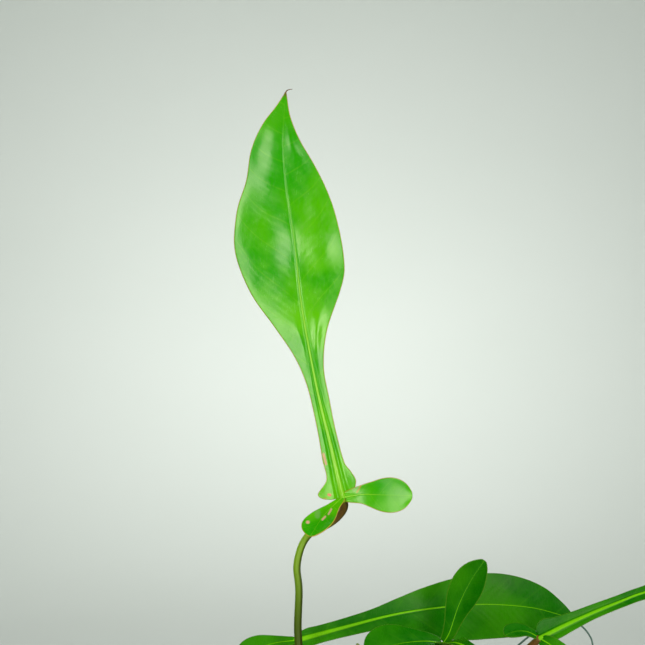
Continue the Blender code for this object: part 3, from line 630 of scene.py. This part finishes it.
def make_stem(material):
    path = smooth_curve(in_plant(STEM_PATH), blur=0.004)
    whole = (STEM_TOP + STEM_DEPTH) * MM

    def radius(share, turn):
        height = share * whole - STEM_DEPTH * MM
        size = STEM_RADIUS * (1.03 - 0.1 * share) * np.ones_like(turn)
        for index, node in enumerate(STEM_NODES):
            above = height - node * MM - 0.0009 * np.cos(turn - 2.4 * index)
            size = size + STEM_NODE_SWELL * 0.9 * np.exp(-(above / 0.0015) ** 2)
            size = size - 0.00025 * np.exp(-((above - 0.0021) / 0.0004) ** 2)
        grain = 0.00008 * np.cos(turn * 11 + 40 * share) + 0.00006 * np.sin(turn * 5 - 90 * share)
        return size + grain - 0.0015 * step(share, 0.985, 1)

    stick("main_stem", path, radius, 320, 72, material)


def make_aerial_root(name, points, thickness, material):
    path = smooth_curve(in_plant(points), blur=0.002)
    length = length_of(path)

    def radius(share, turn):
        taper = thickness * MM * (1.1 - 0.45 * share)
        lumps = 1 + 0.07 * np.sin(share * length / 0.0024 + turn) + 0.05 * np.sin(turn * 3 + share * 60)
        return taper * lumps * np.sqrt(np.clip((1 - share) * 60, 0.02, 1))

    stick(name, path, radius, int(length / RING_SPACING), 20, material)


def make_sheath(name, middle, spread_degrees, foot, length, material):
    """A dry papery sheath: part of a cone round the stem, pleated, frayed and curled at its tip."""
    rows, columns = 70, 48
    share = np.linspace(0, 1, rows)[:, None]
    place = np.linspace(-1, 1, columns)[None, :]
    pleat = 0.00016 * np.cos(place * 19) + 0.0001 * np.cos(place * 43 + 5 * share)
    inner = STEM_RADIUS + STEM_NODE_SWELL + 0.0011
    radius = inner + 0.0042 * share**2 + pleat * (0.4 + share) + 0.0008 * share * np.abs(place) ** 2
    ragged = 1 - 0.05 * np.sin(31 * share + 2) * step(share, 0.3, 0.7)
    reach = math.radians(spread_degrees) * np.sqrt(1 - 0.995 * share**3) * ragged
    turn = math.radians(middle) + reach * place
    height = SOIL_LEVEL + SOIL_DOME + foot + length * (share + 0 * place) - 0.0012 * share * place**2
    sheet = np.stack([radius * np.cos(turn), radius * np.sin(turn), height], axis=-1)
    out = np.stack([np.cos(turn), np.sin(turn), -0.25 * share + 0 * turn], axis=-1)
    thin = 0.0002 * (1 - 0.6 * share)[..., None] * out
    index = np.arange(rows * columns).reshape(rows, columns)
    back = index + rows * columns
    ring = np.concatenate([index[0, :], index[1:, -1], index[-1, -2::-1], index[-2:0:-1, 0]])
    rim = np.append(ring[-1:], ring)
    rim = quads(np.stack([rim, rim + rows * columns], axis=1))
    shape = Shape("turn")
    shape.add(np.concatenate([(sheet + thin).reshape(-1, 3), (sheet - thin).reshape(-1, 3)]),
              quads(index) + quads(back, True) + rim, turn=np.tile((place + 0 * share).ravel(), 2))
    show(shape.mesh(name), name, material)


def make_spear(material):
    """The next leaf, still rolled: a spiral wrap whose free edge winds up it."""
    path = smooth_curve(in_plant(SPEAR_PATH), blur=0.003)

    def radius(share, turn):
        size = SPEAR_RADIUS * (0.85 + 0.32 * share - 1.02 * share**9)
        wound = (turn / (2 * math.pi) - 1.3 * share) % 1
        wrap = 1 + 0.16 * wound - 0.16 * np.exp(-wound / 0.03)
        veins = 0.012 * np.cos(turn * 16 - 20 * share)
        return size * (wrap + veins) * 0.95

    stick("new_leaf_spear", path, radius, 160, 96, material)


# Pot and soil

def lathe(profile, steps):
    """A closed turned mesh; the profile runs from the axis to the axis."""
    inside = np.array(profile[1:-1], float)
    turn = np.linspace(0, 2 * math.pi, steps, endpoint=False)
    radius, height = inside[:, :1], inside[:, 1:]
    points = np.stack([radius * np.cos(turn), radius * np.sin(turn), height + 0 * turn], axis=-1)
    ends = np.array([(0, 0, profile[0][1]), (0, 0, profile[-1][1])])
    return np.concatenate([points.reshape(-1, 3), ends]), ring_faces(len(inside), steps)


def rounded(corners, fineness=10, spacing=0.003):
    """Points along the (radius, height, rounding) corners: an arc at each, and even steps between."""
    outline = []
    for index, (radius, height, rounding) in enumerate(corners):
        corner = np.array((radius, height))
        if rounding == 0:
            arc = [corner]
        else:
            before = unit(np.array(corners[index - 1][:2]) - corner)
            after = unit(np.array(corners[index + 1][:2]) - corner)
            reach = rounding / math.tan(math.acos(float(before @ after)) / 2)
            start = corner + before * reach
            end = corner + after * reach
            ts = np.linspace(0, 1, fineness)
            arc = [(1 - t)**2 * start + 2 * t * (1 - t) * corner + t * t * end for t in ts]
        if outline:
            gap = np.linalg.norm(arc[0] - outline[-1])
            count = int(gap / spacing)
            outline += [outline[-1] + (arc[0] - outline[-1]) * k / (count + 1)
                        for k in range(1, count + 1)]
        outline += arc
    return outline


POT_BASE_RADIUS = 0.044
POT_RIM_RADIUS = 0.065
POT_RIM_HEIGHT = 0.026
POT_RIM_STEP = 0.0075
POT_WALL = 0.0055
POT_FLOOR = 0.007
POT_EDGE = 0.002
DRAIN_HOLE_RADIUS = 0.005
DRAIN_HOLE_CIRCLE = 0.024


def pot_inside(height):
    """The radius of the pot's inner wall at this height."""
    foot = POT_BASE_RADIUS - POT_WALL
    lip = POT_RIM_RADIUS - 1.5 * POT_WALL
    return foot + (lip - foot) * (height - POT_FLOOR) / (POT_HEIGHT - POT_FLOOR)


def make_pot(material):
    """The clay pot, slightly uneven as thrown, with wheel marks and three drain holes."""
    shoulder = POT_HEIGHT - POT_RIM_HEIGHT
    profile = rounded([
        (0, POT_FLOOR, 0),
        (POT_BASE_RADIUS - POT_WALL, POT_FLOOR, POT_EDGE),
        (POT_RIM_RADIUS - 1.5 * POT_WALL, POT_HEIGHT, POT_EDGE),
        (POT_RIM_RADIUS, POT_HEIGHT, POT_EDGE),
        (POT_RIM_RADIUS - POT_EDGE, shoulder, POT_EDGE / 2),
        (POT_RIM_RADIUS - POT_RIM_STEP, shoulder - 0.0003, 0.0012),
        (POT_BASE_RADIUS, 0, POT_EDGE),
        (0, 0, 0),
    ], spacing=0.0016)
    points, faces = lathe(profile, 192)
    turn = np.arctan2(points[:, 1], points[:, 0])
    radius = np.hypot(points[:, 0], points[:, 1])
    height = points[:, 2]
    outer = step(radius - pot_inside(height), 0.3 * POT_WALL, 0.8 * POT_WALL)
    outer = outer * step(height, 0.001, 0.004)
    marks = 0.00012 * np.sin(height / 0.0011 + 0.6 * np.sin(turn * 2))
    marks = marks + 0.00025 * np.sin(turn * 2 + 1) + 0.00016 * np.sin(turn * 3 + height * 60)
    ring = -0.0007 * np.exp(-((height - shoulder - 0.005) / 0.0009) ** 2)
    points[:, :2] *= (1 + outer * (marks + ring) / np.maximum(radius, 1e-6))[:, None]
    shape = Shape()
    shape.add(points, faces)
    obj = show(shape.mesh("pot_shape"), "pot", material)
    drill(obj)
    obj.data.set_sharp_from_angle(angle=math.radians(40))


def drill(obj):
    """Cuts the drain holes in the pot's floor."""
    points, faces = solid(bmesh.ops.create_cone, cap_ends=True, segments=48, radius1=DRAIN_HOLE_RADIUS,
                          radius2=DRAIN_HOLE_RADIUS, depth=4 * POT_FLOOR)
    holes = Shape()
    for angle in np.arange(3) * 2 * math.pi / 3:
        holes.add(points + DRAIN_HOLE_CIRCLE * np.array((math.cos(angle), math.sin(angle), 0)), faces)
    cutter = placed("holes", holes.mesh("holes"))
    cut = obj.modifiers.new("holes", "BOOLEAN")
    cut.operation = "DIFFERENCE"
    cut.object = cutter
    graph = bpy.context.evaluated_depsgraph_get()
    made = bpy.data.meshes.new_from_object(obj.evaluated_get(graph))
    obj.modifiers.clear()
    obj.data = made
    bpy.data.objects.remove(cutter)


SOIL_RIM_DROP = 0.0015
BARK, PERLITE, PEAT = 1, 2, 3
# How many bits of each kind lie on the soil, and their smallest and largest size
CHIPS = {BARK: (330, 0.0016, 0.0050), PERLITE: (130, 0.0010, 0.0024), PEAT: (420, 0.0006, 0.0016)}


def soil_height(radius):
    """The domed top of the soil, which meets the wall a little below the soil's level."""
    share = radius / pot_inside(SOIL_LEVEL - SOIL_RIM_DROP)
    return SOIL_LEVEL + SOIL_DOME - (SOIL_DOME + SOIL_RIM_DROP) * share**2


def make_soil(material):
    """Potting mix: an uneven dark bed with bark chips, perlite and crumbs of peat on it, in one mesh."""
    rng = random.Random(11)
    floor = POT_FLOOR + 0.0003
    rim = SOIL_LEVEL - SOIL_RIM_DROP
    top = [(r, soil_height(r)) for r in np.linspace(0, pot_inside(rim) - 0.0008, 60)]
    side = [(pot_inside(rim - d) - 0.0005, rim - d) for d in np.linspace(0.001, rim - floor - 0.004, 16)]
    profile = [*top, *side, (pot_inside(floor) - 0.004, floor), (0, floor)]
    points, faces = lathe(profile[::-1], 150)
    radius = np.hypot(points[:, 0], points[:, 1])
    on_top = (points[:, 2] > rim - 0.0005) * step(pot_inside(rim) - radius, 0.0005, 0.003)
    clear = step(radius, 0.006, 0.010)
    lumps = np.array([noise.fractal(Vector(p) * 260, 0.7, 2.0, 4) for p in points])
    broad = np.array([noise.noise(Vector(p) * 70) for p in points])
    points[:, 2] += on_top * clear * (0.0011 * lumps + 0.0016 * broad - 0.0004)
    shape = Shape("kind", "tone")
    shape.add(points, faces, kind=0.0, tone=0.0)
    roots = np.concatenate([smooth_curve(in_plant(points)) for points, _ in AERIAL_ROOTS.values()
                            if points[-1][2] < 0])
    ball = solid(bmesh.ops.create_icosphere, subdivisions=2, radius=1)
    for kind, (count, low, high) in CHIPS.items():
        for _ in range(count):
            reach = (pot_inside(rim) - 0.004) * math.sqrt(rng.uniform(0.02, 1))
            angle = rng.uniform(0, 2 * math.pi)
            size = rng.uniform(low, high) if kind != BARK else low + (high - low) * rng.random() ** 2
            place = Vector((reach * math.cos(angle), reach * math.sin(angle), 0))
            place.z = soil_height(reach)
            room = size + 0.0012
            if (reach > STEM_RADIUS + STEM_NODE_SWELL + room
                    and np.linalg.norm(roots - np.array(place), axis=1).min() > room):
                chip(shape, ball, place, size, kind, rng)
    show(shape.mesh("soil_shape"), "potting_soil", material)


def chip(shape, ball, place, size, kind, rng):
    """One bit on the soil: a split flake of bark, a round crumb of perlite or a crumb of peat."""
    seed = Vector((rng.uniform(0, 90), rng.uniform(0, 90), rng.uniform(0, 90)))
    flat = (1, rng.uniform(0.35, 0.8), rng.uniform(0.18, 0.4)) if kind == BARK else (1, 0.9, 0.75)
    turn = rng.uniform(0, 2 * math.pi)
    lean = rng.uniform(-0.5, 0.5)
    points = []
    for spot in map(Vector, ball[0]):
        bump = 1 + 0.28 * noise.noise(spot * 1.6 + seed) + 0.1 * noise.noise(spot * 4 + seed)
        if kind == BARK:
            bump = 0.55 + 0.45 * round(bump * 5) / 5
        x, y, z = np.array(spot) * flat * bump * size
        z += x * lean + size * 0.08
        points.append((x * math.cos(turn) - y * math.sin(turn), x * math.sin(turn) + y * math.cos(turn), z))
    shape.add(np.array(points) + np.array(place), ball[1], kind=float(kind), tone=rng.random())


# Materials

class Graph:
    """Short names for building one material's nodes."""

    def __init__(self, name):
        self.material = bpy.data.materials.new(name)
        self.material.use_nodes = True
        self.tree = self.material.node_tree
        self.shader = self.tree.nodes["Principled BSDF"]

    def put(self, socket, value):
        if isinstance(value, bpy.types.NodeSocket):
            self.tree.links.new(value, socket)
        elif isinstance(value, tuple) and len(value) == 3 and socket.type == "RGBA":
            socket.default_value = (*value, 1)
        else:
            socket.default_value = value

    def node(self, kind, sockets, **settings):
        """A new node with these settings, and these values or links at its sockets."""
        made = self.tree.nodes.new(kind)
        for name, value in settings.items():
            setattr(made, name, value)
        for place, value in sockets.items():
            self.put(made.inputs[place], value)
        return made

    def value(self, name):
        """A named value of the mesh's points."""
        return self.node("ShaderNodeAttribute", {}, attribute_name=name).outputs["Fac"]

    def place(self):
        return self.node("ShaderNodeTexCoord", {}).outputs["Object"]

    def math(self, operation, *values):
        return self.node("ShaderNodeMath", dict(enumerate(values)), operation=operation).outputs[0]

    def rise(self, value, low, high, start=0.0, end=1.0):
        """Goes smoothly from start at low to end at high."""
        sockets = dict(enumerate((value, low, high, start, end)))
        return self.node("ShaderNodeMapRange", sockets, interpolation_type="SMOOTHSTEP").outputs[0]

    def noise(self, scale, detail=3.0, roughness=0.55, stretch=None):
        place = self.place()
        if stretch:
            place = self.node("ShaderNodeMapping", {"Vector": place, "Scale": stretch}).outputs[0]
        sockets = {"Vector": place, "Scale": scale, "Detail": detail, "Roughness": roughness}
        return self.node("ShaderNodeTexNoise", sockets).outputs["Fac"]

    def cells(self, scale):
        sockets = {"Vector": self.place(), "Scale": scale}
        return self.node("ShaderNodeTexVoronoi", sockets).outputs["Distance"]

    def mix(self, factor, first, second):
        return self.node("ShaderNodeMix", {0: factor, 6: first, 7: second}, data_type="RGBA").outputs[2]

    def blend(self, value, low, high, first, second, most=1.0):
        """The first colour where the value is low, and up to most of the second where it is high."""
        return self.mix(self.rise(value, low, high, 0, most), first, second)

    def bump(self, height, distance, strength=1.0, normal=None):
        sockets = {"Height": height, "Distance": distance, "Strength": strength}
        if normal:
            sockets["Normal"] = normal
        return self.node("ShaderNodeBump", sockets).outputs[0]

    def finish(self, colour, roughness, normal=None, **sockets):
        self.put(self.shader.inputs["Base Color"], colour)
        self.put(self.shader.inputs["Roughness"], roughness)
        if normal:
            self.put(self.shader.inputs["Normal"], normal)
        for name, value in sockets.items():
            self.shader.inputs[name.replace("_", " ")].default_value = value
        return self.material


def leaf_material(name, dark, light, rib, rim, under, shine, veins, gloss, fade):
    """A glossy leaf: mottled green, pale midrib, fine side veins, a thin coloured margin and scars."""
    g = Graph(name)
    broad = g.noise(28, 2)
    medium = g.noise(160, 4)
    fine = g.noise(1500, 3)
    colour = g.blend(broad, 0.38, 0.66, dark, light)
    colour = g.blend(medium, 0.45, 0.75, colour, light, 0.35)
    colour = g.blend(g.value("along"), 0.10, 0.19, colour, dark, 0.6)
    phase = g.value("vein")
    near = g.math("PINGPONG", phase, 0.5)
    line = g.rise(near, 0.0, 0.05, 1, 0)
    small = g.rise(g.math("PINGPONG", g.math("MULTIPLY", phase, 5), 0.5), 0, 0.16, 1, 0)
    line = g.math("MAXIMUM", g.math("MULTIPLY", line, veins), g.math("MULTIPLY", small, veins / 4))
    line = g.math("MULTIPLY", line, g.rise(medium, 0.3, 0.6, 0.4, 1))
    colour = g.mix(line, colour, rib)
    ribbing = g.rise(g.value("rib"), 0.45, 1.15, 1, 0)
    colour = g.mix(g.math("MULTIPLY", ribbing, g.rise(g.value("along"), 0.09, 0.16, 0.95, fade)), colour, rib)
    below = g.mix(g.math("MULTIPLY", g.math("MAXIMUM", ribbing, line), 0.6), under, light)
    colour = g.mix(g.value("under"), colour, below)
    colour = g.mix(g.rise(g.value("rim"), 0.00008, 0.00042, 0.8, 0), colour, rim)
    colour = g.mix(g.value("scar"), colour, (0.72, 0.42, 0.24))
    colour = g.mix(g.value("red"), colour, (0.75, 0.10, 0.02))
    colour = g.mix(g.value("grey"), colour, (0.27, 0.38, 0.16))
    colour = g.mix(g.value("tip"), colour, (0.16, 0.07, 0.02))
    grain = g.noise(900, 3, 0.7, stretch=(1.6, 1, 0.35))
    rough = g.rise(medium, 0.3, 0.7, shine - 0.04, shine + 0.06)
    rough = g.math("ADD", rough, g.rise(grain, 0.45, 0.7, 0, 0.10))
    rough = g.math("MAXIMUM", rough, g.math("MULTIPLY", g.value("scar"), 0.6))
    normal = g.bump(fine, 0.00005, 0.6)
    normal = g.bump(g.rise(near, 0.0, 0.06, 0, 1), 0.00001, 0.5, normal)
    return g.finish(colour, rough, normal, Specular_IOR_Level=gloss, Specular_Tint=LEAF_TINT)


def petiole_material(name, top, young, low, shade):
    """A stalk: purple-brown under its blade, yellow-green in the bend and olive further down, with painted
    shade on its +x side.
    """
    g = Graph(name)
    share = g.value("share")
    streaks = g.noise(220, 4, stretch=(1, 1, 0.12))
    flecks = g.noise(1400, 2, stretch=(1, 1, 0.3))
    colour = g.blend(share, 0.50, 0.80, low, young)
    colour = g.blend(share, 0.845, 0.90, colour, top)
    # Painted shade: the side of the stalk that faces +x is mixed towards the shade colour, as if lit from the
    # left
    side = g.rise(g.math("ADD", g.value("face"), g.math("MULTIPLY", streaks, 0.8)), 0.5, 1.3, 0, 0.75)
    colour = g.mix(side, colour, shade)
    colour = g.blend(flecks, 0.62, 0.74, colour, shade, 0.35)
    rough = g.rise(streaks, 0.3, 0.7, 0.34, 0.5)
    normal = g.bump(streaks, 0.0002, 0.5)
    return g.finish(colour, rough, normal, Specular_Tint=LEAF_TINT)


def stem_material():
    g = Graph("stem_bark")
    streaks = g.noise(260, 5, stretch=(1, 1, 0.25))
    patches = g.noise(90, 3)
    colour = g.blend(streaks, 0.35, 0.65, (0.085, 0.13, 0.03), (0.20, 0.23, 0.07))
    dry = g.math("ADD", g.rise(g.value("share"), 0.1, 0.75, 0.5, -0.25), patches)
    colour = g.blend(dry, 0.45, 0.8, colour, (0.24, 0.15, 0.075), 0.9)
    colour = g.mix(g.rise(g.cells(900), 0.15, 0.3, 0.35, 0), colour, (0.30, 0.24, 0.15))
    normal = g.bump(streaks, 0.0006, 0.7)
    return g.finish(colour, g.rise(patches, 0.3, 0.7, 0.5, 0.75), normal)


def root_material():
    g = Graph("root_skin")
    rings = g.noise(900, 4)
    broad = g.noise(60, 2)
    colour = g.blend(rings, 0.35, 0.7, (0.30, 0.21, 0.11), (0.50, 0.42, 0.28))
    colour = g.blend(broad, 0.42, 0.6, colour, (0.23, 0.30, 0.20))
    return g.finish(colour, g.rise(rings, 0.3, 0.7, 0.6, 0.85), g.bump(rings, 0.0003, 0.6))


def thread_material():
    g = Graph("thread_root_skin")
    rings = g.noise(1300, 3)
    colour = g.blend(rings, 0.35, 0.7, (0.075, 0.15, 0.12), (0.16, 0.26, 0.21))
    return g.finish(colour, g.rise(rings, 0.3, 0.7, 0.5, 0.7), g.bump(rings, 0.0001, 0.4))


def sheath_material():
    g = Graph("dry_sheath_paper")
    ribs = g.math("SINE", g.math("MULTIPLY", g.value("turn"), 60.0))
    grain = g.noise(420, 5, stretch=(1, 1, 0.2))
    colour = g.blend(grain, 0.3, 0.7, (0.16, 0.085, 0.035), (0.42, 0.27, 0.13))
    colour = g.blend(ribs, 0.2, 1, colour, (0.52, 0.37, 0.20), 0.45)
    colour = g.blend(g.noise(150, 3), 0.55, 0.7, colour, (0.085, 0.045, 0.02), 0.8)
    normal = g.bump(ribs, 0.00012, 0.6, g.bump(grain, 0.0003, 0.6))
    return g.finish(colour, g.rise(grain, 0.3, 0.7, 0.6, 0.85), normal)


def spear_material():
    g = Graph("rolled_leaf")
    share = g.value("share")
    streaks = g.noise(300, 4, stretch=(1, 1, 0.15))
    colour = g.blend(share, 0, 0.6, (0.20, 0.17, 0.05), (0.20, 0.42, 0.06))
    colour = g.blend(share, 0.75, 1, colour, (0.23, 0.27, 0.06))
    colour = g.blend(streaks, 0.4, 0.75, colour, (0.36, 0.47, 0.12), 0.5)
    return g.finish(colour, g.rise(streaks, 0.3, 0.7, 0.32, 0.45), g.bump(streaks, 0.0002, 0.5))


def terracotta_material():
    """Fired clay with a chalky bloom, darker damp patches near the foot and pale, worn edges."""
    g = Graph("fired_clay")
    grain = g.noise(1800, 5)
    broad = g.noise(30, 4)
    patches = g.noise(75, 6, 0.65)
    up = g.node("ShaderNodeSeparateXYZ", {0: g.place()}).outputs[2]
    colour = g.blend(broad, 0.35, 0.65, (0.50, 0.185, 0.085), (0.62, 0.27, 0.14))
    colour = g.blend(grain, 0.5, 0.8, colour, (0.72, 0.40, 0.25), 0.5)
    damp = g.math("SUBTRACT", patches, g.rise(up, 0.0, 0.05, -0.06, 0.22))
    colour = g.blend(damp, 0.38, 0.52, colour, (0.30, 0.11, 0.05), 0.55)
    from_shoulder = g.math("ABSOLUTE", g.math("SUBTRACT", up, POT_HEIGHT - POT_RIM_HEIGHT))
    bloom = g.math("ADD", patches, g.rise(from_shoulder, 0, 0.02, 0.07, 0))
    colour = g.blend(bloom, 0.56, 0.72, colour, (0.74, 0.62, 0.52), 0.6)
    colour = g.mix(g.rise(g.cells(1300), 0.10, 0.2, 0.4, 0), colour, (0.33, 0.15, 0.09))
    normal = g.bump(grain, 0.0002, 0.5, g.bump(patches, 0.0006, 0.4))
    return g.finish(colour, g.rise(patches, 0.3, 0.7, 0.75, 0.95), normal, Specular_IOR_Level=0.3)


def soil_material():
    g = Graph("potting_mix")
    kind = g.value("kind")
    tone = g.value("tone")
    grain = g.noise(1600, 5)
    crumbs = g.noise(380, 4)
    colour = g.blend(crumbs, 0.35, 0.7, (0.020, 0.013, 0.008), (0.075, 0.047, 0.028))
    bark = g.mix(tone, (0.055, 0.026, 0.012), (0.21, 0.11, 0.055))
    bark = g.blend(g.noise(600, 4, stretch=(1, 0.2, 1)), 0.4, 0.7, bark, (0.03, 0.016, 0.009), 0.5)
    perlite = g.mix(tone, (0.62, 0.60, 0.54), (0.78, 0.77, 0.72))
    colour = g.blend(kind, 0.4, 0.6, colour, bark)
    colour = g.blend(kind, 1.4, 1.6, colour, perlite)
    colour = g.blend(kind, 2.4, 2.6, colour, g.mix(tone, (0.015, 0.01, 0.006), (0.09, 0.055, 0.03)))
    return g.finish(colour, 0.92, g.bump(grain, 0.0005, 0.8), Specular_IOR_Level=0.25)


# The studio

STUDIO_RADIUS = 1.3
STUDIO_CURVE = 1.4
STUDIO_HEIGHT = 2.6
STUDIO_STEPS = 128
LEAF_TINT = (1, 1, 0.68, 1)


def make_studio():
    """A pale floor that curves up into a wall all round."""
    arc = [(STUDIO_RADIUS + STUDIO_CURVE * math.sin(a), STUDIO_CURVE * (1 - math.cos(a)))
           for a in np.linspace(0, math.pi / 2, 60)]
    profile = [(r, 0) for r in np.linspace(0, STUDIO_RADIUS, 20)] + arc[1:]
    points, faces = lathe([*profile, (arc[-1][0], STUDIO_HEIGHT), (0, STUDIO_HEIGHT)], STUDIO_STEPS)
    mesh = bpy.data.meshes.new("studio_floor")
    mesh.from_pydata(points.tolist(), [], faces[:-STUDIO_STEPS])
    mesh.shade_smooth()
    g = Graph("studio_paper")
    paper = g.mix(g.noise(3, 2), (0.70, 0.735, 0.695), (0.725, 0.755, 0.72))
    mesh.materials.append(g.finish(paper, 0.9, Specular_IOR_Level=0.1))
    floor = placed("studio_floor", mesh)
    floor.visible_glossy = False


# Each light: its place, what it points at, its width and height, its power, and whether leaves mirror it
HEART = (-0.03, 0, 0.60)
LIGHTS = {
    "overhead": ((0, 0.1, 2.3), (0, 0.1, 0), 2.2, 2.2, 17, False),
    "wall_top": ((-0.1, 1.0, 2.0), (-0.1, 2.5, 0.6), 0.5, 0.5, 1.2, False),
    "wall_left": ((-0.15, 1.5, 1.1), (-0.1, 2.25, 0.4), 0.3, 0.3, 3.2, False),
    "wall_right": ((0.1, 1.6, 0.9), (0.05, 2.3, 0.4), 0.3, 0.3, 1.25, False),
    "strip_left": ((-0.513, -1.287, 0.70), HEART, 0.32, 1.2, 5.1, True),
    "strip_right": ((0.423, -1.287, 0.70), HEART, 0.32, 1.2, 5.1, True),
    "strip_rear_left": ((-0.9, 1.0, 0.8), HEART, 0.32, 1.0, 3.8, True),
    "strip_rear_right": ((1.0, 0.9, 0.8), HEART, 0.32, 1.0, 3.8, True),
}


def soft_light(name, place, aim, wide, tall, watts, glossy):
    lamp = bpy.data.lights.new(name, "AREA")
    lamp.shape = "RECTANGLE" if glossy else "ELLIPSE"
    lamp.size = wide
    lamp.size_y = tall
    lamp.energy = watts
    lamp.spread = math.radians(180 if wide > 1 else 150)
    lamp.color = (0.985, 1, 0.985)
    obj = placed(name, lamp)
    obj.location = place
    obj.rotation_mode = "QUATERNION"
    obj.rotation_quaternion = (Vector(aim) - Vector(place)).to_track_quat("-Z", "Y")
    obj.visible_camera = False
    obj.visible_glossy = glossy


def make_lights():
    for name, settings in LIGHTS.items():
        soft_light(name, *settings)
    world = bpy.data.worlds.new("studio_air")
    world.use_nodes = True
    sky = world.node_tree.nodes["Background"]
    sky.inputs["Color"].default_value = (0.93, 1.0, 0.94, 1)
    sky.inputs["Strength"].default_value = 0.2
    world.cycles_visibility.glossy = False
    bpy.context.scene.world = world
    bpy.context.scene.view_settings.view_transform = "Standard"


def make_camera():
    lens = bpy.data.cameras.new("camera")
    lens.lens = 90
    lens.sensor_width = 36
    camera = placed("camera", lens)
    camera.location = (-0.03875, -0.806, 0.41125)
    camera.rotation_euler = (math.pi / 2, 0, 0)
    bpy.context.scene.camera = camera


# The plant

make_camera()
make_studio()
make_lights()
young_leaf = leaf_material(
    "young_leaf", dark=(0.024, 0.37, 0.0003), light=(0.125, 0.55, 0.0010), rib=(0.26, 0.64, 0.02),
    rim=(0.60, 0.30, 0.05), under=(0.10, 0.36, 0.03), shine=0.15, veins=0.18, gloss=0.55, fade=0.15)
old_leaf = leaf_material(
    "old_leaf", dark=(0.007, 0.15, 0.0004), light=(0.036, 0.25, 0.0008), rib=(0.19, 0.58, 0.002),
    rim=(0.09, 0.22, 0.01), under=(0.045, 0.20, 0.01), shine=0.27, veins=0.06, gloss=0.13, fade=0.6)
stalk = petiole_material("stalk", top=(0.17, 0.080, 0.015), young=(0.22, 0.40, 0.008),
                         low=(0.055, 0.100, 0.001), shade=(0.035, 0.040, 0.003))
root_skin = root_material()
sheath_paper = sheath_material()
for leaf_name, leaf_spec in LEAVES.items():
    hero = leaf_name == "top"
    make_blade(leaf_name, leaf_spec, young_leaf if hero else old_leaf)
    make_petiole(leaf_name, leaf_spec, stalk)
make_stem(stem_material())
thread_skin = thread_material()
for root_name, (root_points, root_thickness) in AERIAL_ROOTS.items():
    skin = thread_skin if root_name == "aerial_root_long" else root_skin
    make_aerial_root(root_name, root_points, root_thickness, skin)
for sheath_name, sheath_sizes in SHEATHS.items():
    make_sheath(sheath_name, *sheath_sizes, sheath_paper)
make_spear(spear_material())
make_pot(terracotta_material())
make_soil(soil_material())
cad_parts["root_system"].data.materials.clear()
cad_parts["root_system"].data.materials.append(root_skin)
